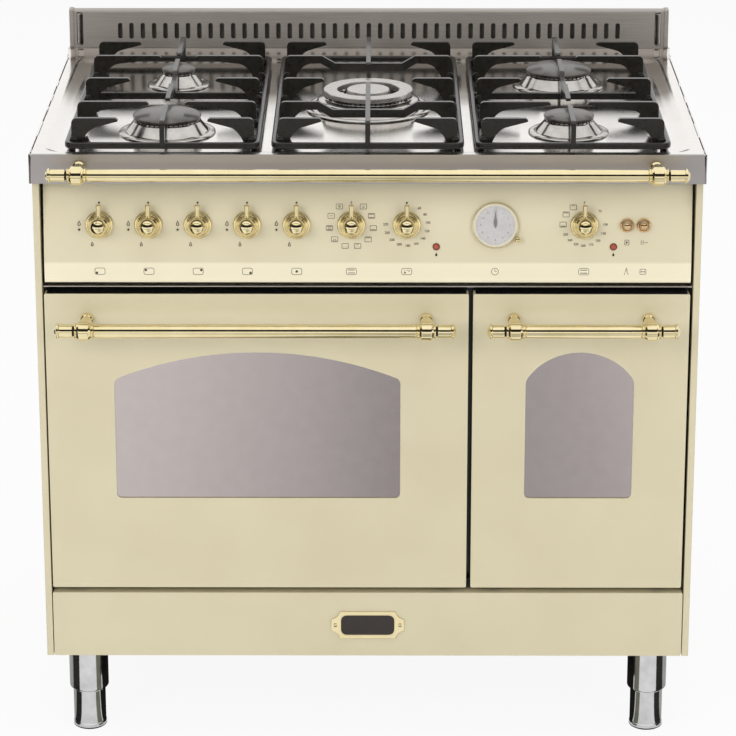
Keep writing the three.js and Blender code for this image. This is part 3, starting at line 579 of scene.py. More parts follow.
IN_A_ROW = (("Piece", "Object"), ("Count", "Int"), ("First", "Vector"), ("Step", "Vector"),
            ("Finish", "Material"))


def row_places(tree, given):
    """Places in a row, by their number, the first one and the step."""
    row = tree.nodes.new("GeometryNodeMeshLine")
    for label, socket in (("Count", "Count"), ("First", "Start Location"), ("Step", "Offset")):
        tree.links.new(given.outputs[label], row.inputs[socket])
    return row.outputs["Mesh"]


def copies_at(tree, given, places, facing=None):
    """Real copies of the lent piece at the places, turned where a rotation is given."""
    lent = tree.nodes.new("GeometryNodeObjectInfo")
    place = tree.nodes.new("GeometryNodeInstanceOnPoints")
    real = tree.nodes.new("GeometryNodeRealizeInstances")
    tree.links.new(given.outputs["Piece"], lent.inputs["Object"])
    tree.links.new(places, place.inputs["Points"])
    tree.links.new(lent.outputs["Geometry"], place.inputs["Instance"])
    if facing:
        tree.links.new(facing, place.inputs["Rotation"])
    tree.links.new(place.outputs["Instances"], real.inputs["Geometry"])
    return real.outputs["Geometry"]


def coated(tree, given, shape, result):
    """The tree, with its last step: the shape gets its finish."""
    coat = tree.nodes.new("GeometryNodeSetMaterial")
    tree.links.new(shape, coat.inputs["Geometry"])
    tree.links.new(given.outputs["Finish"], coat.inputs["Material"])
    tree.links.new(coat.outputs["Geometry"], result)
    return tree


def pierced_tree():
    """Cuts a row of holes through the host with copies of a drill."""
    tree, given, result = grower("pierced_row", *IN_A_ROW)
    carve = tree.nodes.new("GeometryNodeMeshBoolean")
    carve.operation = "DIFFERENCE"
    carve.solver = "MANIFOLD"
    tree.links.new(given.outputs["Geometry"], carve.inputs["Mesh 1"])
    tree.links.new(copies_at(tree, given, row_places(tree, given)), carve.inputs["Mesh 2"])
    return coated(tree, given, carve.outputs["Mesh"], result)


pierced_row = pierced_tree()


def backguard_side_view():
    """The folded sheet seen from the side: face, rolled top and back."""
    thick, roll = 0.0015, 0.0045
    outer = eased([(BACK_FACE, back_low.z), (BACK_FACE, back_high.z - 0.0015),
                   (back_high.y, back_high.z - 0.0015), (back_high.y, back_low.z)], roll, 5)
    inner = eased([(BACK_FACE + thick, back_low.z), (BACK_FACE + thick, back_high.z - 0.003),
                   (back_high.y - thick, back_high.z - 0.003), (back_high.y - thick, back_low.z)], roll, 5)
    return outer + inner[::-1]


slot_r = VENT["width"] / 2
slot_drill = upright([rectangle(-slot_r, slot_r, VENT["low"], VENT["high"], slot_r * 0.98, 5)], 0.01,
                     BACK_FACE - 0.004)
step = 2 * VENT["half"] / (VENT["count"] - 1)
back_steel = stainless("back_steel", (156, 149, 142), (168, 161, 154), 0.4, metal=0.4)
vented = grown(pierced_row, drawn_across(backguard_side_view(), back_low.x + 0.001, back_high.x - 0.001),
               Piece=aside(slot_drill), Count=VENT["count"], First=(-VENT["half"], 0, 0),
               Step=(step, 0, 0), Finish=back_steel)


def turned(outline, sides=72):
    """A turned piece about Z. The outline is a list of radius and height."""
    bm = bmesh.new()
    verts = [bm.verts.new((r, 0, h)) for r, h in outline]
    edges = [bm.edges.new(pair) for pair in zip(verts, verts[1:])]
    bmesh.ops.spin(bm, geom=verts + edges, axis=(0, 0, 1), cent=(0, 0, 0), angle=2 * math.pi, steps=sides)
    bmesh.ops.remove_doubles(bm, verts=bm.verts, dist=1e-6)
    bmesh.ops.recalc_face_normals(bm, faces=bm.faces)
    mesh = bpy.data.meshes.new("turned")
    bm.to_mesh(mesh)
    bm.free()
    return mesh


def pressed_bead(x):
    """A round-ended bead pressed out of the sheet, standing upright."""
    r, tall = 0.0048, (back_high.z - back_low.z) / 2 - 0.003
    end = [(r * math.cos(a), tall - r + r * math.sin(a)) for a in (math.radians(15 * k) for k in range(7))]
    bead = turned([(u, -v) for u, v in reversed(end)] + end, 32)
    bead.transform(Matrix.Diagonal((1, 0.0021 / r, 1, 1)))
    bead.transform(Matrix.Translation((x, BACK_FACE + 0.0002, (back_low.z + back_high.z) / 2)))
    return bead


def cheek(x0):
    return drawn_across(rectangle(back_low.y, back_high.y, back_low.z, back_high.z, 0.004), x0, x0 + 0.006)


backguard = piece("backguard_sheet", merged(vented, cheek(back_low.x), cheek(back_high.x - 0.006)),
                  back_steel, "chassis", "hob_steel", "backguard")
ease_edges(backguard, 0.0004)
bead_steel = stainless("bead_steel", (150, 143, 137), (176, 170, 163), 0.14)
piece("backguard_beads", merged(pressed_bead(-0.4315), pressed_bead(0.4315)),
      bead_steel, "chassis", "hob_steel")


def plain_finish(name, size, dark, light, gloss_size, low, high):
    """A finish without a grain: its colour clouds over one size and its roughness over another."""
    material, nodes, links, shader = blank(name)
    links.new(shades(nodes, links, grain(nodes, links, size), dark, light), shader.inputs["Base Color"])
    links.new(between(nodes, links, grain(nodes, links, gloss_size), low, high), shader.inputs["Roughness"])
    return material


# Painted shade: a dark sheet inside the fold, seen through the vents, stands for the shadow in the hollow.
painted_vent_shade = plain_finish("painted_vent_shade", 0.03, (84, 80, 75), (108, 103, 97), 0.01, 0.5, 0.7)
vent_shade_panel = upright([rectangle(back_low.x + 0.008, back_high.x - 0.008, back_low.z + 0.002,
                            back_high.z - 0.006)],
                 0.0008, BACK_FACE + 0.009)
piece("backguard_lining", vent_shade_panel, painted_vent_shade, "chassis", "black_enamel")

# ---- Gas burners -----------------------------------------------------------------------------------
# Four round burners and a double-crown one: a polished aluminium skirt on a wide flange, gas ports
# under the rim drawn as small black tabs of painted shade, and a satin enamelled cap that lifts off.
def burnished(name, dark, light, rough, metal=1.0, coat=0.0):
    """Turned metal: rings of fine tool lines around the piece's own axis would need its centre, so the
    lines are noise too fine to show a direction."""
    material, nodes, links, shader = blank(name)
    fine = grain(nodes, links, 0.0015, (1, 1, 0.25), 3)
    cloud = grain(nodes, links, 0.02, (1, 1, 1), 3, 5.0)
    shader.inputs["Metallic"].default_value = metal
    shader.inputs["Coat Weight"].default_value = coat
    shader.inputs["Coat Roughness"].default_value = 0.15
    links.new(shades(nodes, links, cloud, dark, light), shader.inputs["Base Color"])
    links.new(between(nodes, links, cloud, rough * 0.75, rough * 1.25), shader.inputs["Roughness"])
    relief(nodes, links, shader, (fine, 0.000012))
    return material


burner_metal = burnished("burner_metal", (180, 176, 171), (208, 204, 199), 0.16)
cap_enamel = burnished("cap_enamel", (84, 81, 77), (118, 114, 109), 0.36, 0.55, 0.2)
ring_enamel = burnished("ring_enamel", (182, 177, 173), (204, 199, 194), 0.3, 0.8, 0.1)
# Painted shade: near-black for the gas ports under the cap rims and the grooves of the rails' necks.
painted_groove_shade = plain_finish("painted_groove_shade", 0.002, (14, 13, 12), (30, 27, 24), 0.004, 0.55, 0.85)


def ring_tree():
    """Sets copies of a piece around a circle, each turned to look outwards."""
    tree, given, result = grower("ring_of_pieces", ("Piece", "Object"), ("Count", "Int"),
                                 ("Radius", "Float"), ("Finish", "Material"))
    ring = tree.nodes.new("GeometryNodeMeshCircle")
    where = tree.nodes.new("GeometryNodeInputPosition")
    turn = tree.nodes.new("FunctionNodeAlignRotationToVector")
    turn.axis = "X"
    turn.pivot_axis = "Z"
    tree.links.new(given.outputs["Count"], ring.inputs["Vertices"])
    tree.links.new(given.outputs["Radius"], ring.inputs["Radius"])
    tree.links.new(where.outputs["Position"], turn.inputs["Vector"])
    copies = copies_at(tree, given, ring.outputs["Mesh"], turn.outputs["Rotation"])
    return coated(tree, given, copies, result)


ring_of_pieces = ring_tree()


def in_ring(mesh, count, radius):
    """Copies of a black piece around a circle."""
    return grown(ring_of_pieces, bpy.data.meshes.new("host"), Piece=aside(mesh), Count=count, Radius=radius,
                 Finish=painted_groove_shade)


SEAT_Z = WELL_FLOOR + 0.0206  # where a cap sits on its skirt


def centre_of(node):
    low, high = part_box(node)
    return (low + high) / 2


def half_width(node):
    low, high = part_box(node)
    return (high.x - low.x) / 2


def moved(mesh, x, y, z=0.0):
    mesh.transform(Matrix.Translation((x, y, z)))
    return mesh


def skirt_outline(flange, skirt, seat):
    """Half of a burner skirt: flange with a raised lip, groove, cone and the band of the ports."""
    z = WELL_FLOOR + 0.0003
    return eased([(0, z), (flange, z), (flange, z + 0.0016), (flange - 0.002, z + 0.0028),
                  (skirt + 0.0024, z + 0.0034), (skirt + 0.0012, z + 0.001), (skirt, z + 0.0036),
                  (seat + 0.0006, SEAT_Z - 0.0035), (seat, SEAT_Z - 0.0005), (0, SEAT_Z - 0.0005)], 0.0008, 3)


def port(width, height):
    return drawn_across(rectangle(-width / 2, width / 2, -height, 0, width * 0.45, 3), -0.0012, 0.00025)


for name in ("front_left", "rear_left", "rear_right", "front_right"):
    centre = centre_of("burner_cap_" + name)
    cap = half_width("burner_cap_" + name)
    flange = half_width("burner_body_" + name)
    skirt = flange - 0.0098
    seat = cap - 0.0015
    body = turned(skirt_outline(flange, skirt, seat))
    piece("burner_skirt_" + name, moved(body, centre.x, centre.y), burner_metal, "chassis", "burner_metal",
          "burner_body_" + name)
    # The ports are painted shade: small black tabs set round the top of the skirt.
    count = round(cap / 0.0011)
    ports = in_ring(port(0.0018, 0.0034), count, seat + 0.0002)
    piece("burner_ports_" + name, moved(ports, centre.x, centre.y, SEAT_Z - 0.0006), painted_groove_shade, "chassis",
          "black_enamel")
    rim, top = SEAT_Z + 0.0032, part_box("burner_cap_" + name)[1].z
    dome = [(cap * math.cos(a), rim + (top - rim) * math.sin(a))
            for a in (math.radians(6 * k) for k in range(16))]
    lid = turned([(0, SEAT_Z), (cap - 0.0032, SEAT_Z), (cap - 0.0014, SEAT_Z + 0.0008)] + dome)
    piece("burner_lid_" + name, moved(lid, centre.x, centre.y), cap_enamel, "chassis", "burner_cap_enamel",
          "burner_cap_" + name)

centre = centre_of("burner_ring_centre")
crown = half_width("burner_ring_centre")
inner = half_width("burner_inner_cap_centre")
flange = half_width("burner_body_centre")
z = WELL_FLOOR + 0.0003
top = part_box("burner_ring_centre")[1].z
body = turned(eased([(0, z), (flange, z), (flange, z + 0.002), (flange - 0.004, z + 0.0036),
                     (flange - 0.008, z + 0.002), (flange - 0.012, z + 0.0026),
                     (crown + 0.006, SEAT_Z - 0.006), (crown - 0.003, SEAT_Z - 0.0035),
                     (crown - 0.0035, SEAT_Z - 0.0005), (0.0455, SEAT_Z - 0.0005), (0.044, z + 0.012),
                     (inner - 0.001, z + 0.012), (inner - 0.003, SEAT_Z - 0.0005), (0, SEAT_Z - 0.0005)],
                    0.0012, 3))
piece("burner_skirt_centre", moved(body, centre.x, centre.y), burner_metal, "chassis", "burner_metal",
      "burner_body_centre")
# The ports of both crowns are painted shade: small black tabs.
outer_ports = in_ring(port(0.0018, 0.0034), 54, crown - 0.0032)
inner_ports = in_ring(port(0.0016, 0.003), 28, inner - 0.0028)
piece("burner_ports_centre", moved(merged(outer_ports, inner_ports), centre.x, centre.y, SEAT_Z - 0.0006),
      painted_groove_shade, "chassis", "black_enamel")
ring = turned(eased([(0.043, SEAT_Z), (crown - 0.003, SEAT_Z), (crown, SEAT_Z + 0.0022),
                     (crown - 0.0015, top - 0.0008), (crown - 0.0028, top), (0.0445, top),
                     (0.0432, top - 0.0012), (0.043, SEAT_Z)], 0.0009, 3), 96)
piece("burner_crown_centre", moved(ring, centre.x, centre.y), ring_enamel, "chassis", "burner_cap_enamel",
      "burner_ring_centre")
lid = turned(eased([(0, SEAT_Z), (inner - 0.003, SEAT_Z), (inner, SEAT_Z + 0.0022),
                    (inner - 0.0012, top - 0.0006), (inner - 0.003, top), (0, top)], 0.0009, 3))
piece("burner_lid_centre", moved(lid, centre.x, centre.y), ring_enamel, "chassis", "burner_cap_enamel",
      "burner_inner_cap_centre")

# A ceramic spark plug and a flame probe stand in the gap between the two crowns.
ceramic = plain_finish("ceramic", 0.003, (214, 208, 196), (232, 228, 218), 0.002, 0.25, 0.4)
plug = turned(eased([(0, 0), (0.0032, 0), (0.0032, 0.007), (0.0022, 0.0085), (0.0022, 0.0105), (0, 0.011)],
                    0.0008, 3), 24)
piece("spark_plug", moved(plug, centre.x - 0.0365, centre.y - 0.004, WELL_FLOOR + 0.0125), ceramic, "chassis",
      "burner_metal")
probe = turned(eased([(0, 0), (0.0021, 0), (0.0021, 0.009), (0.0012, 0.0105), (0, 0.0112)], 0.0006, 3), 24)
piece("flame_probe", moved(probe, centre.x - 0.0345, centre.y + 0.014, WELL_FLOOR + 0.0125),
      burner_metal, "chassis", "burner_metal")

# ---- Pan supports ----------------------------------------------------------------------------------
# Three black cast-iron grids. Upright fingers with rounded shoulders reach in from a low frame, a
# dipped bar crosses under the wok, and blades run from front and rear to the burners.
cast_iron, nodes, links, shader = blank("cast_iron")
pits = grain(nodes, links, 0.0011, (1, 1, 1), 2)
lumps = grain(nodes, links, 0.006, (1, 1, 1), 2, 2.0)
shader.inputs["Specular IOR Level"].default_value = 0.38
shader.inputs["Coat Weight"].default_value = 0.3
shader.inputs["Coat Roughness"].default_value = 0.15
links.new(shades(nodes, links, lumps, (24, 22, 18), (36, 33, 28)), shader.inputs["Base Color"])
links.new(between(nodes, links, lumps, 0.26, 0.36), shader.inputs["Roughness"])
relief(nodes, links, shader, (lumps, 0.00005), (pits, 0.00002))

ROWS = (0.0464, 0.137, 0.2718, 0.4075, 0.496)  # finger rows, from the hob's front edge
GRID_TOP = 0.0385  # finger tops over the border
GRID = {"front": 0.026, "rear": 0.534, "bar": 0.008, "high": 0.009, "thick": 0.007, "inset": 0.009}


def leg_outside(inset):
    """The outer edge of a leg: u runs inwards from the frame's edge, v is the height over the border."""
    foot = [(0.005, 0.001), (0.005, 0.008), (inset, 0.012)] if inset else [(0, 0.001)]
    return foot + [(inset + 0.007 - 0.007 * math.cos(a), GRID_TOP - 0.007 + 0.007 * math.sin(a))
                   for a in (math.radians(15 * k) for k in range(7))]


def leg_inside(inset):
    """The hollow under a finger, from below its beak down to the frame."""
    bends = ((0.044, 0.0268), (0.029, 0.0238), (0.0215, 0.001)) if inset else (
        (0.036, 0.0285), (0.014, 0.0275), (0.011, 0.001))
    a, b, c = (Vector(bend) for bend in bends)
    return [tuple(a.lerp(b, t).lerp(b.lerp(c, t), t)) for t in (k / 8 for k in range(9))]


def grid_finger(length, inset=0.0, tip=0.0045):
    """Side view of a finger. A blade stands on its bar; a side finger's leg is set in from the frame."""
    beak = [(length - 0.003, GRID_TOP), (length, GRID_TOP - 0.0025), (length, GRID_TOP - tip)]
    return leg_outside(inset) + beak + leg_inside(inset)


def dipped_bar(half):
    """The bar between two fingers, which dips under the wok and climbs again."""
    over = [(-half + 0.046, GRID_TOP), (-half + 0.062, GRID_TOP), (-half + 0.081, 0.0275)]
    below = [(-half + 0.079, 0.0165), (-half + 0.060, 0.0275), (-half + 0.046, 0.027)]
    right = [(-x, v) for x, v in reversed(over)]
    return over + right + [(-x, v) for x, v in reversed(below)] + below


def standing_along_x(outline, y):
    thick = GRID["thick"]
    return moved(upright([outline], thick, -thick / 2), 0, HOB_FRONT + y, BORDER)


def standing_along_y(outline):
    mesh = drawn_across(outline, -0.00325, 0.00325)
    return moved(mesh, 0, HOB_FRONT, BORDER)


def grid_frame(half):
    front, rear, bar = GRID["front"], GRID["rear"], GRID["bar"]
    outside = rectangle(-half, half, front, rear, 0.016, 8)
    inside = rectangle(-half + bar, half - bar, front + bar, rear - bar, 0.01, 8)
    return moved(plate([outside, inside], GRID["high"], 0.003), 0, HOB_FRONT, BORDER)


def side_finger(length, half, y, side):
    outline = [(side * (half - u), v) for u, v in grid_finger(length, GRID["inset"])]
    return standing_along_x(outline, y)


def blades(length, from_rear=False):
    edge = GRID["rear"] if from_rear else GRID["front"]
    sign = -1 if from_rear else 1
    return standing_along_y([(edge + sign * u, v) for u, v in grid_finger(length)])


def boss(half, y, side):
    """A round lug cast on the leg of a finger, seen from the front."""
    mesh = turned(eased([(0, 0), (0.0052, 0), (0.0052, 0.0034), (0, 0.0046)], 0.0016, 4), 24)
    mesh.transform(STANDING)
    return moved(mesh, side * (half - 0.0122), HOB_FRONT + y - GRID["thick"] / 2 + 0.001, BORDER + 0.0098)


def grid_pads(half):
    low = WELL_FLOOR + 0.0003 - BORDER
    return [moved(turned(eased([(0, low), (0.005, low), (0.005, 0.002), (0, 0.002)], 0.001, 3), 20),
                  sx * (half - 0.009), HOB_FRONT + y, BORDER) for sx in (-1, 1) for y in (ROWS[0], ROWS[4])]


def side_grid():
    half = half_width("pan_support_left")
    solids = [grid_frame(half)]
    for i, y in enumerate(ROWS):
        reach = half - (0.025 if i % 2 else 0.060)
        for side in (-1, 1):
            solids += [side_finger(reach, half, y, side), boss(half, y, side)]
    mid = [(-half + 0.002, 0), (half - 0.002, 0), (half - 0.002, GRID["high"]), (-half + 0.002, GRID["high"])]
    solids.append(standing_along_x(mid, 0.305))
    solids += [blades(0.096), blades(0.113, True)]
    top = GRID_TOP
    solids.append(standing_along_y(eased([(0.154, top - 0.0045), (0.154, top), (0.240, top),
                                          (0.253, 0.0305), (0.303, 0.0305), (0.313, top), (0.390, top),
                                          (0.390, top - 0.0045), (0.330, 0.028), (0.314, 0.003),
                                          (0.290, 0.003), (0.266, 0.025), (0.230, 0.029)],
                                         0.004, 3, closed=True)))
    return solids + grid_pads(half)


def centre_grid():
    half = half_width("pan_support_centre")
    solids = [grid_frame(half)]
    for i, y in enumerate(ROWS):
        for side in (-1, 1):
            solids += [side_finger(0.056 if i % 2 else half - 0.062, half, y, side), boss(half, y, side)]
        if i % 2:
            solids.append(standing_along_x(dipped_bar(half), y))
    return solids + [blades(0.224), blades(0.172, True)] + grid_pads(half)


for name, solids in (("left", side_grid()), ("centre", centre_grid()), ("right", side_grid())):
    mesh = moved(fused(*solids), centre_of("pan_support_" + name).x, 0)
    grid = piece("cast_grid_" + name, mesh, cast_iron, "chassis", "cast_iron_grates", "pan_support_" + name,
                 sharp=50)
    ease_edges(grid, 0.0009, 2, 40)

# ---- Hob rail --------------------------------------------------------------------------------------
# A turned brass bar on two round posts in front of the hob, with a barrel at each post and a capped
# finial beyond it. The brass is polished and lacquered.
brass, nodes, links, shader = blank("polished_brass")
cloud = grain(nodes, links, 0.03, (1, 1, 1), 3)
fine = grain(nodes, links, 0.0012, (1, 1, 1), 2, 4.0)
shader.inputs["Metallic"].default_value = 1.0
shader.inputs["Coat Weight"].default_value = 0.3
shader.inputs["Coat Roughness"].default_value = 0.05
links.new(shades(nodes, links, cloud, (240, 224, 174), (249, 235, 190)), shader.inputs["Base Color"])
links.new(between(nodes, links, cloud, 0.06, 0.11), shader.inputs["Roughness"])
relief(nodes, links, shader, (fine, 0.000003))


BARREL = 0.0126  # radius of the barrels on every rail


def bar_outline(bar, barrel, post, over):
    """Half of a turned bar from its middle out: bar, bead, barrel, bead, finial with its end ring."""
    bead = bar + 0.0013
    corners = [(bar, 0), (bar, post - 0.0142), (bar - 0.0012, post - 0.0136), (bead, post - 0.0128),
               (bead, post - 0.0108), (bead - 0.0012, post - 0.0102), (barrel, post - 0.0066),
               (barrel, post + 0.0066), (bead - 0.0012, post + 0.0102), (bead, post + 0.0108),
               (bead, post + 0.0122), (bar - 0.0046, post + 0.0124), (bar - 0.0046, post + 0.0146),
               (bar - 0.0002, post + 0.0149), (bar - 0.0004, over - 0.0066), (bead, over - 0.006),
               (bead, over - 0.0034), (bar - 0.001, over - 0.0022), (bar - 0.0045, over), (0, over)]
    return eased(corners, 0.0007, 3)


def brass_rail(node, bar, post, face_y):
    """The bar and posts that stand for a CAD rail; the posts meet the face behind it."""
    low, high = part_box(node)
    over = (high.x - low.x) / 2
    axis = Vector(((low.x + high.x) / 2, low.y + BARREL, high.z - BARREL))
    half = bar_outline(bar, BARREL, post, over)
    rod = turned([(r, -h) for r, h in reversed(half)] + half[1:], 64)
    rod.transform(Matrix.Translation(axis) @ Matrix.Rotation(math.pi / 2, 4, "Y"))
    reach = face_y - 0.0003 - axis.y
    leg_outline = eased([(0, 0), (0.0076, 0), (0.0076, reach - 0.011), (0.0064, reach - 0.0095),
                         (0.0088, reach - 0.007), (0.0092, reach - 0.002), (0.0092, reach), (0, reach)],
                        0.001, 4)
    legs = []
    for side in (-1, 1):
        leg = turned(leg_outline, 40)
        leg.transform(Matrix.Translation(axis + Vector((side * post, 0, 0)))
                      @ Matrix.Rotation(-math.pi / 2, 4, "X"))
        legs.append(leg)
    return fused(rod, *legs)


def rail_necks(node, bar, post):
    """Painted shade: dark rings sunk in the grooves between each barrel of a rail and its finial."""
    low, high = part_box(node)
    start, end = post + 0.0125, post + 0.0145
    ring = turned([(bar - 0.005, start), (bar - 0.0026, start), (bar - 0.0026, end), (bar - 0.005, end),
                   (bar - 0.005, start)])
    other = ring.copy()
    other.transform(Matrix.Rotation(math.pi, 4, "X"))
    both = merged(ring, other)
    both.transform(Matrix.Rotation(math.pi / 2, 4, "Y"))
    return moved(both, (low.x + high.x) / 2, low.y + BARREL, high.z - BARREL)


piece("towel_rail", brass_rail("hob_rail", 0.0084, 0.3827, HOB_FRONT),
      brass, "chassis", "brass_fittings", "hob_rail")
piece("towel_rail_necks", rail_necks("hob_rail", 0.0084, 0.3827), painted_groove_shade, "chassis", "black_enamel")

# ---- Control panel ---------------------------------------------------------------------------------
# One enamelled sheet under the hob: an upright lip, a face that leans back eight degrees and a short
# strip above it, closed at both ends. It is drilled for the knobs, the lamps, the buttons and the clock.
panel_low, panel_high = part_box("control_panel")
LIP_FACE = panel_low.y
CREASE, BEND = 0.7084, 0.798  # lower and upper fold, above the floor
LEAN = math.radians(8)
SKIN = 0.002
DIAL_Z = centre_of("clock_case").z
KNOB_NAMES = ("front_left", "rear_left", "rear_right", "front_right", "centre", "oven_function",
              "main_thermostat", "small_oven")


def enamel(name, dark, light, rough):
    """Vitreous enamel: an even colour, a faint orange peel and a clear gloss."""
    material, nodes, links, shader = blank(name)
    cloud = grain(nodes, links, 0.12, (1, 1, 1), 2)
    peel = grain(nodes, links, 0.0035, (1, 1, 1), 1, 3.0)
    speck = grain(nodes, links, 0.0007, (1, 1, 1), 1, 6.0)
    shader.inputs["Coat Weight"].default_value = 0.35
    shader.inputs["Coat Roughness"].default_value = 0.12
    links.new(shades(nodes, links, cloud, dark, light), shader.inputs["Base Color"])
    links.new(between(nodes, links, cloud, rough - 0.04, rough + 0.04), shader.inputs["Roughness"])
    relief(nodes, links, shader, (peel, 0.000012), (speck, 0.000004))
    return material


cream = enamel("cream_enamel", (215, 205, 172), (220, 210, 178), 0.34)
# Painted highlight: the upright lip below the crease is painted a lighter cream than the leaning face above
# it.
panel_with_painted_lip_light = enamel("panel_enamel", (220, 210, 178), (226, 216, 186), 0.34)
shaded_from(panel_with_painted_lip_light, "Object", CREASE + 0.001, CREASE - 0.002, (246, 237, 208))


def face_y(z):
    """How far back the leaning face is at a height."""
    return LIP_FACE + (z - CREASE) * math.tan(LEAN)


def on_face(mesh, x, z):
    """Sets a piece square on the leaning face, where its own Z points out."""
    mesh.transform(Matrix.Translation((x, face_y(z), z)) @ Matrix.Rotation(math.pi / 2 - LEAN, 4, "X"))
    return mesh


def panel_side_view(inset):
    """The sheet seen from the side, from its lower back edge round to its upper one."""
    low, top = panel_low.z + inset, panel_high.z - inset
    return eased([(panel_high.y, low), (LIP_FACE + inset, low), (LIP_FACE + inset, CREASE),
                  (face_y(BEND) + inset, BEND), (face_y(BEND) + 0.004 + inset, top), (panel_high.y, top)],
                 0.003 - inset, 4)


def pierced(mesh, *drills):
    """The mesh with holes cut by drills."""
    return grown(pierced_row, mesh, Piece=aside(merged(*drills)), Count=1, First=(0, 0, 0), Step=(0, 0, 0))


def drill(radius, x, z, sides=32):
    return on_face(moved(turned([(0, 0), (radius, 0), (radius, 0.06), (0, 0.06)], sides), 0, 0, -0.03), x, z)


ends = [drawn_across(panel_side_view(0), x, x + SKIN) for x in (panel_low.x, panel_high.x - SKIN)]
sheet = drawn_across(panel_side_view(0) + panel_side_view(SKIN)[::-1],
                     panel_low.x + 0.001, panel_high.x - 0.001)
drills = [drill(0.0038, centre_of("knob_" + name).x, DIAL_Z) for name in KNOB_NAMES]
drills += [drill(0.0038, centre_of("button_oven_" + name).x, DIAL_Z) for name in ("light", "fan")]
drills += [drill(0.0049, centre_of("lamp_" + name).x, centre_of("lamp_" + name).z)
           for name in ("main_oven", "small_oven")]
drills += [drill(0.02, centre_of("clock_case").x, DIAL_Z)]
SET_KNOB_Z = 0.7402  # where the axis of the set knob meets the face
drills += [drill(0.0023, centre_of("clock_set_knob").x, SET_KNOB_Z)]
piece("panel_sheet", pierced(fused(sheet, *ends), *drills),
      panel_with_painted_lip_light, "chassis", "cream_enamel", "control_panel")

# ---- Printed marks ---------------------------------------------------------------------------------
# Brown ink fired into the enamel: a flame and a spark beside each gas knob, the oven functions and
# temperatures around the others, and on the lip a rounded box that tells what each knob belongs to.
PRINT = 0.0001  # ink over the enamel
LINE = 0.0006
ink = plain_finish("printed_ink", 0.0008, (38, 30, 22), (56, 46, 36), 0.002, 0.4, 0.55)


def dot(u, v, radius, sides=20):
    return [(u + radius * math.cos(a), v + radius * math.sin(a))
            for a in (2 * math.pi * i / sides for i in range(sides))]


def hoop(u, v, radius, line=LINE):
    return [dot(u, v, radius, 32), dot(u, v, radius - line, 32)]


def stroke(u0, v0, u1, v1, line=LINE):
    along = Vector((u1 - u0, v1 - v0)).normalized() * line / 2
    return [(u0 - along.y, v0 + along.x), (u0 + along.y, v0 - along.x),
            (u1 + along.y, v1 - along.x), (u1 - along.y, v1 + along.x)]


def lozenge(u, v, width, height, corner, line=LINE):
    """A rounded box drawn by its line."""
    w, h = width / 2, height / 2
    return [rectangle(u - w, u + w, v - h, v + h, corner),
            rectangle(u - w + line, u + w - line, v - h + line, v + h - line, corner - line)]


def drop(u, v, height, line=0.0):
    """A flame: a drop with its point up, or its outline where a line is given."""
    def shape(grow):
        r = height * 0.3 + grow
        low = v + height * 0.3
        side = [(u + r * math.sin(a), low - r * math.cos(a))
                for a in (math.radians(15 * i) for i in range(8))]
        return side + [(u, v + height + 1.6 * grow)] + [(2 * u - a, b) for a, b in reversed(side[1:])]
    return [shape(0), shape(-line)] if line else [shape(0)]


def spark(u, v, radius, points=6):
    return [[(u + r * math.cos(a), v + r * math.sin(a)) for i in range(2 * points)
             for a, r in [(math.pi * i / points + 0.26, radius if i % 2 else radius * 0.38)]]]


def blades_of_fan(u, v, radius):
    """Two crossed blades, each a thin bow tie."""
    r, w = radius, radius * 0.42
    return [[(u - r, v - w), (u, v), (u - r, v + w)], [(u + r, v + w), (u, v), (u + r, v - w)]]


def written(text, size, u, v):
    """Outlines can't be had from type, so each word is a flat mesh of its own."""
    type_curve = bpy.data.curves.new("type", "FONT")
    type_curve.body = text
    type_curve.size = size
    type_curve.offset = 0.00008
    type_curve.align_x = "CENTER"
    type_curve.align_y = "CENTER"
    type_curve.resolution_u = 3
    type_curve.extrude = PRINT / 2
    return moved(taken_from(bpy.data.objects.new("type", type_curve)), u, v, PRINT / 2)


def around(u, v, radius, degrees):
    a = math.radians(degrees)
    return u + radius * math.cos(a), v + radius * math.sin(a)


def face_v(z):
    """Height along the leaning face of a place at height z, from the line of the knobs."""
    return (z - DIAL_Z) / math.cos(LEAN)


def function_box(u, v, *marks):
    """One oven function: a small box with a bar for each element, a fan, a grill or a lamp."""
    shapes = lozenge(u, v, 0.0092, 0.0074, 0.0012)
    for mark in marks:
        shapes += {
            "top": [stroke(u - 0.0032, v + 0.0021, u + 0.0032, v + 0.0021, 0.0008)],
            "bottom": [stroke(u - 0.0032, v - 0.0021, u + 0.0032, v - 0.0021, 0.0008)],
            "fan": blades_of_fan(u, v, 0.0016),
            "low_fans": [*blades_of_fan(u - 0.002, v - 0.0014, 0.001),
                         *blades_of_fan(u + 0.002, v - 0.0014, 0.001)],
            "grill": [stroke(u + k * 0.0016, v + 0.0024, u + (k + 1) * 0.0016,
                             v + (0.0012 if k % 2 else 0.0024)) for k in (-1, 0)],
            "lamp": hoop(u, v + 0.0004, 0.0014) + [stroke(u, v - 0.0022, u, v - 0.0011)],
            "drop": drop(u, v - 0.002, 0.0042, LINE * 0.8),
        }[mark]
    return shapes


marks, words = [], []
for name in KNOB_NAMES[:5]:
    u = centre_of("knob_" + name).x
    marks += [dot(u, 0.0299, 0.0014), *drop(u - 0.027, -0.0016, 0.0076, 0.0011),
              *spark(u - 0.027, -0.0066, 0.0027), *drop(u - 0.0098, -0.0292, 0.0066, 0.0011)]

u = centre_of("knob_oven_function").x
FUNCTIONS = (("drop",), ("top", "bottom"), ("bottom",), ("top",), ("grill", "low_fans"), ("low_fans",),
             ("bottom", "fan"), ("top", "bottom", "fan"), ("fan",), ("lamp",))
for i, kinds in enumerate(FUNCTIONS, 1):
    marks += function_box(*around(u, 0, 0.0297, 90 - 360 / 11 * i), *kinds)
words.append(written("0", 0.0044, u, 0.0303))

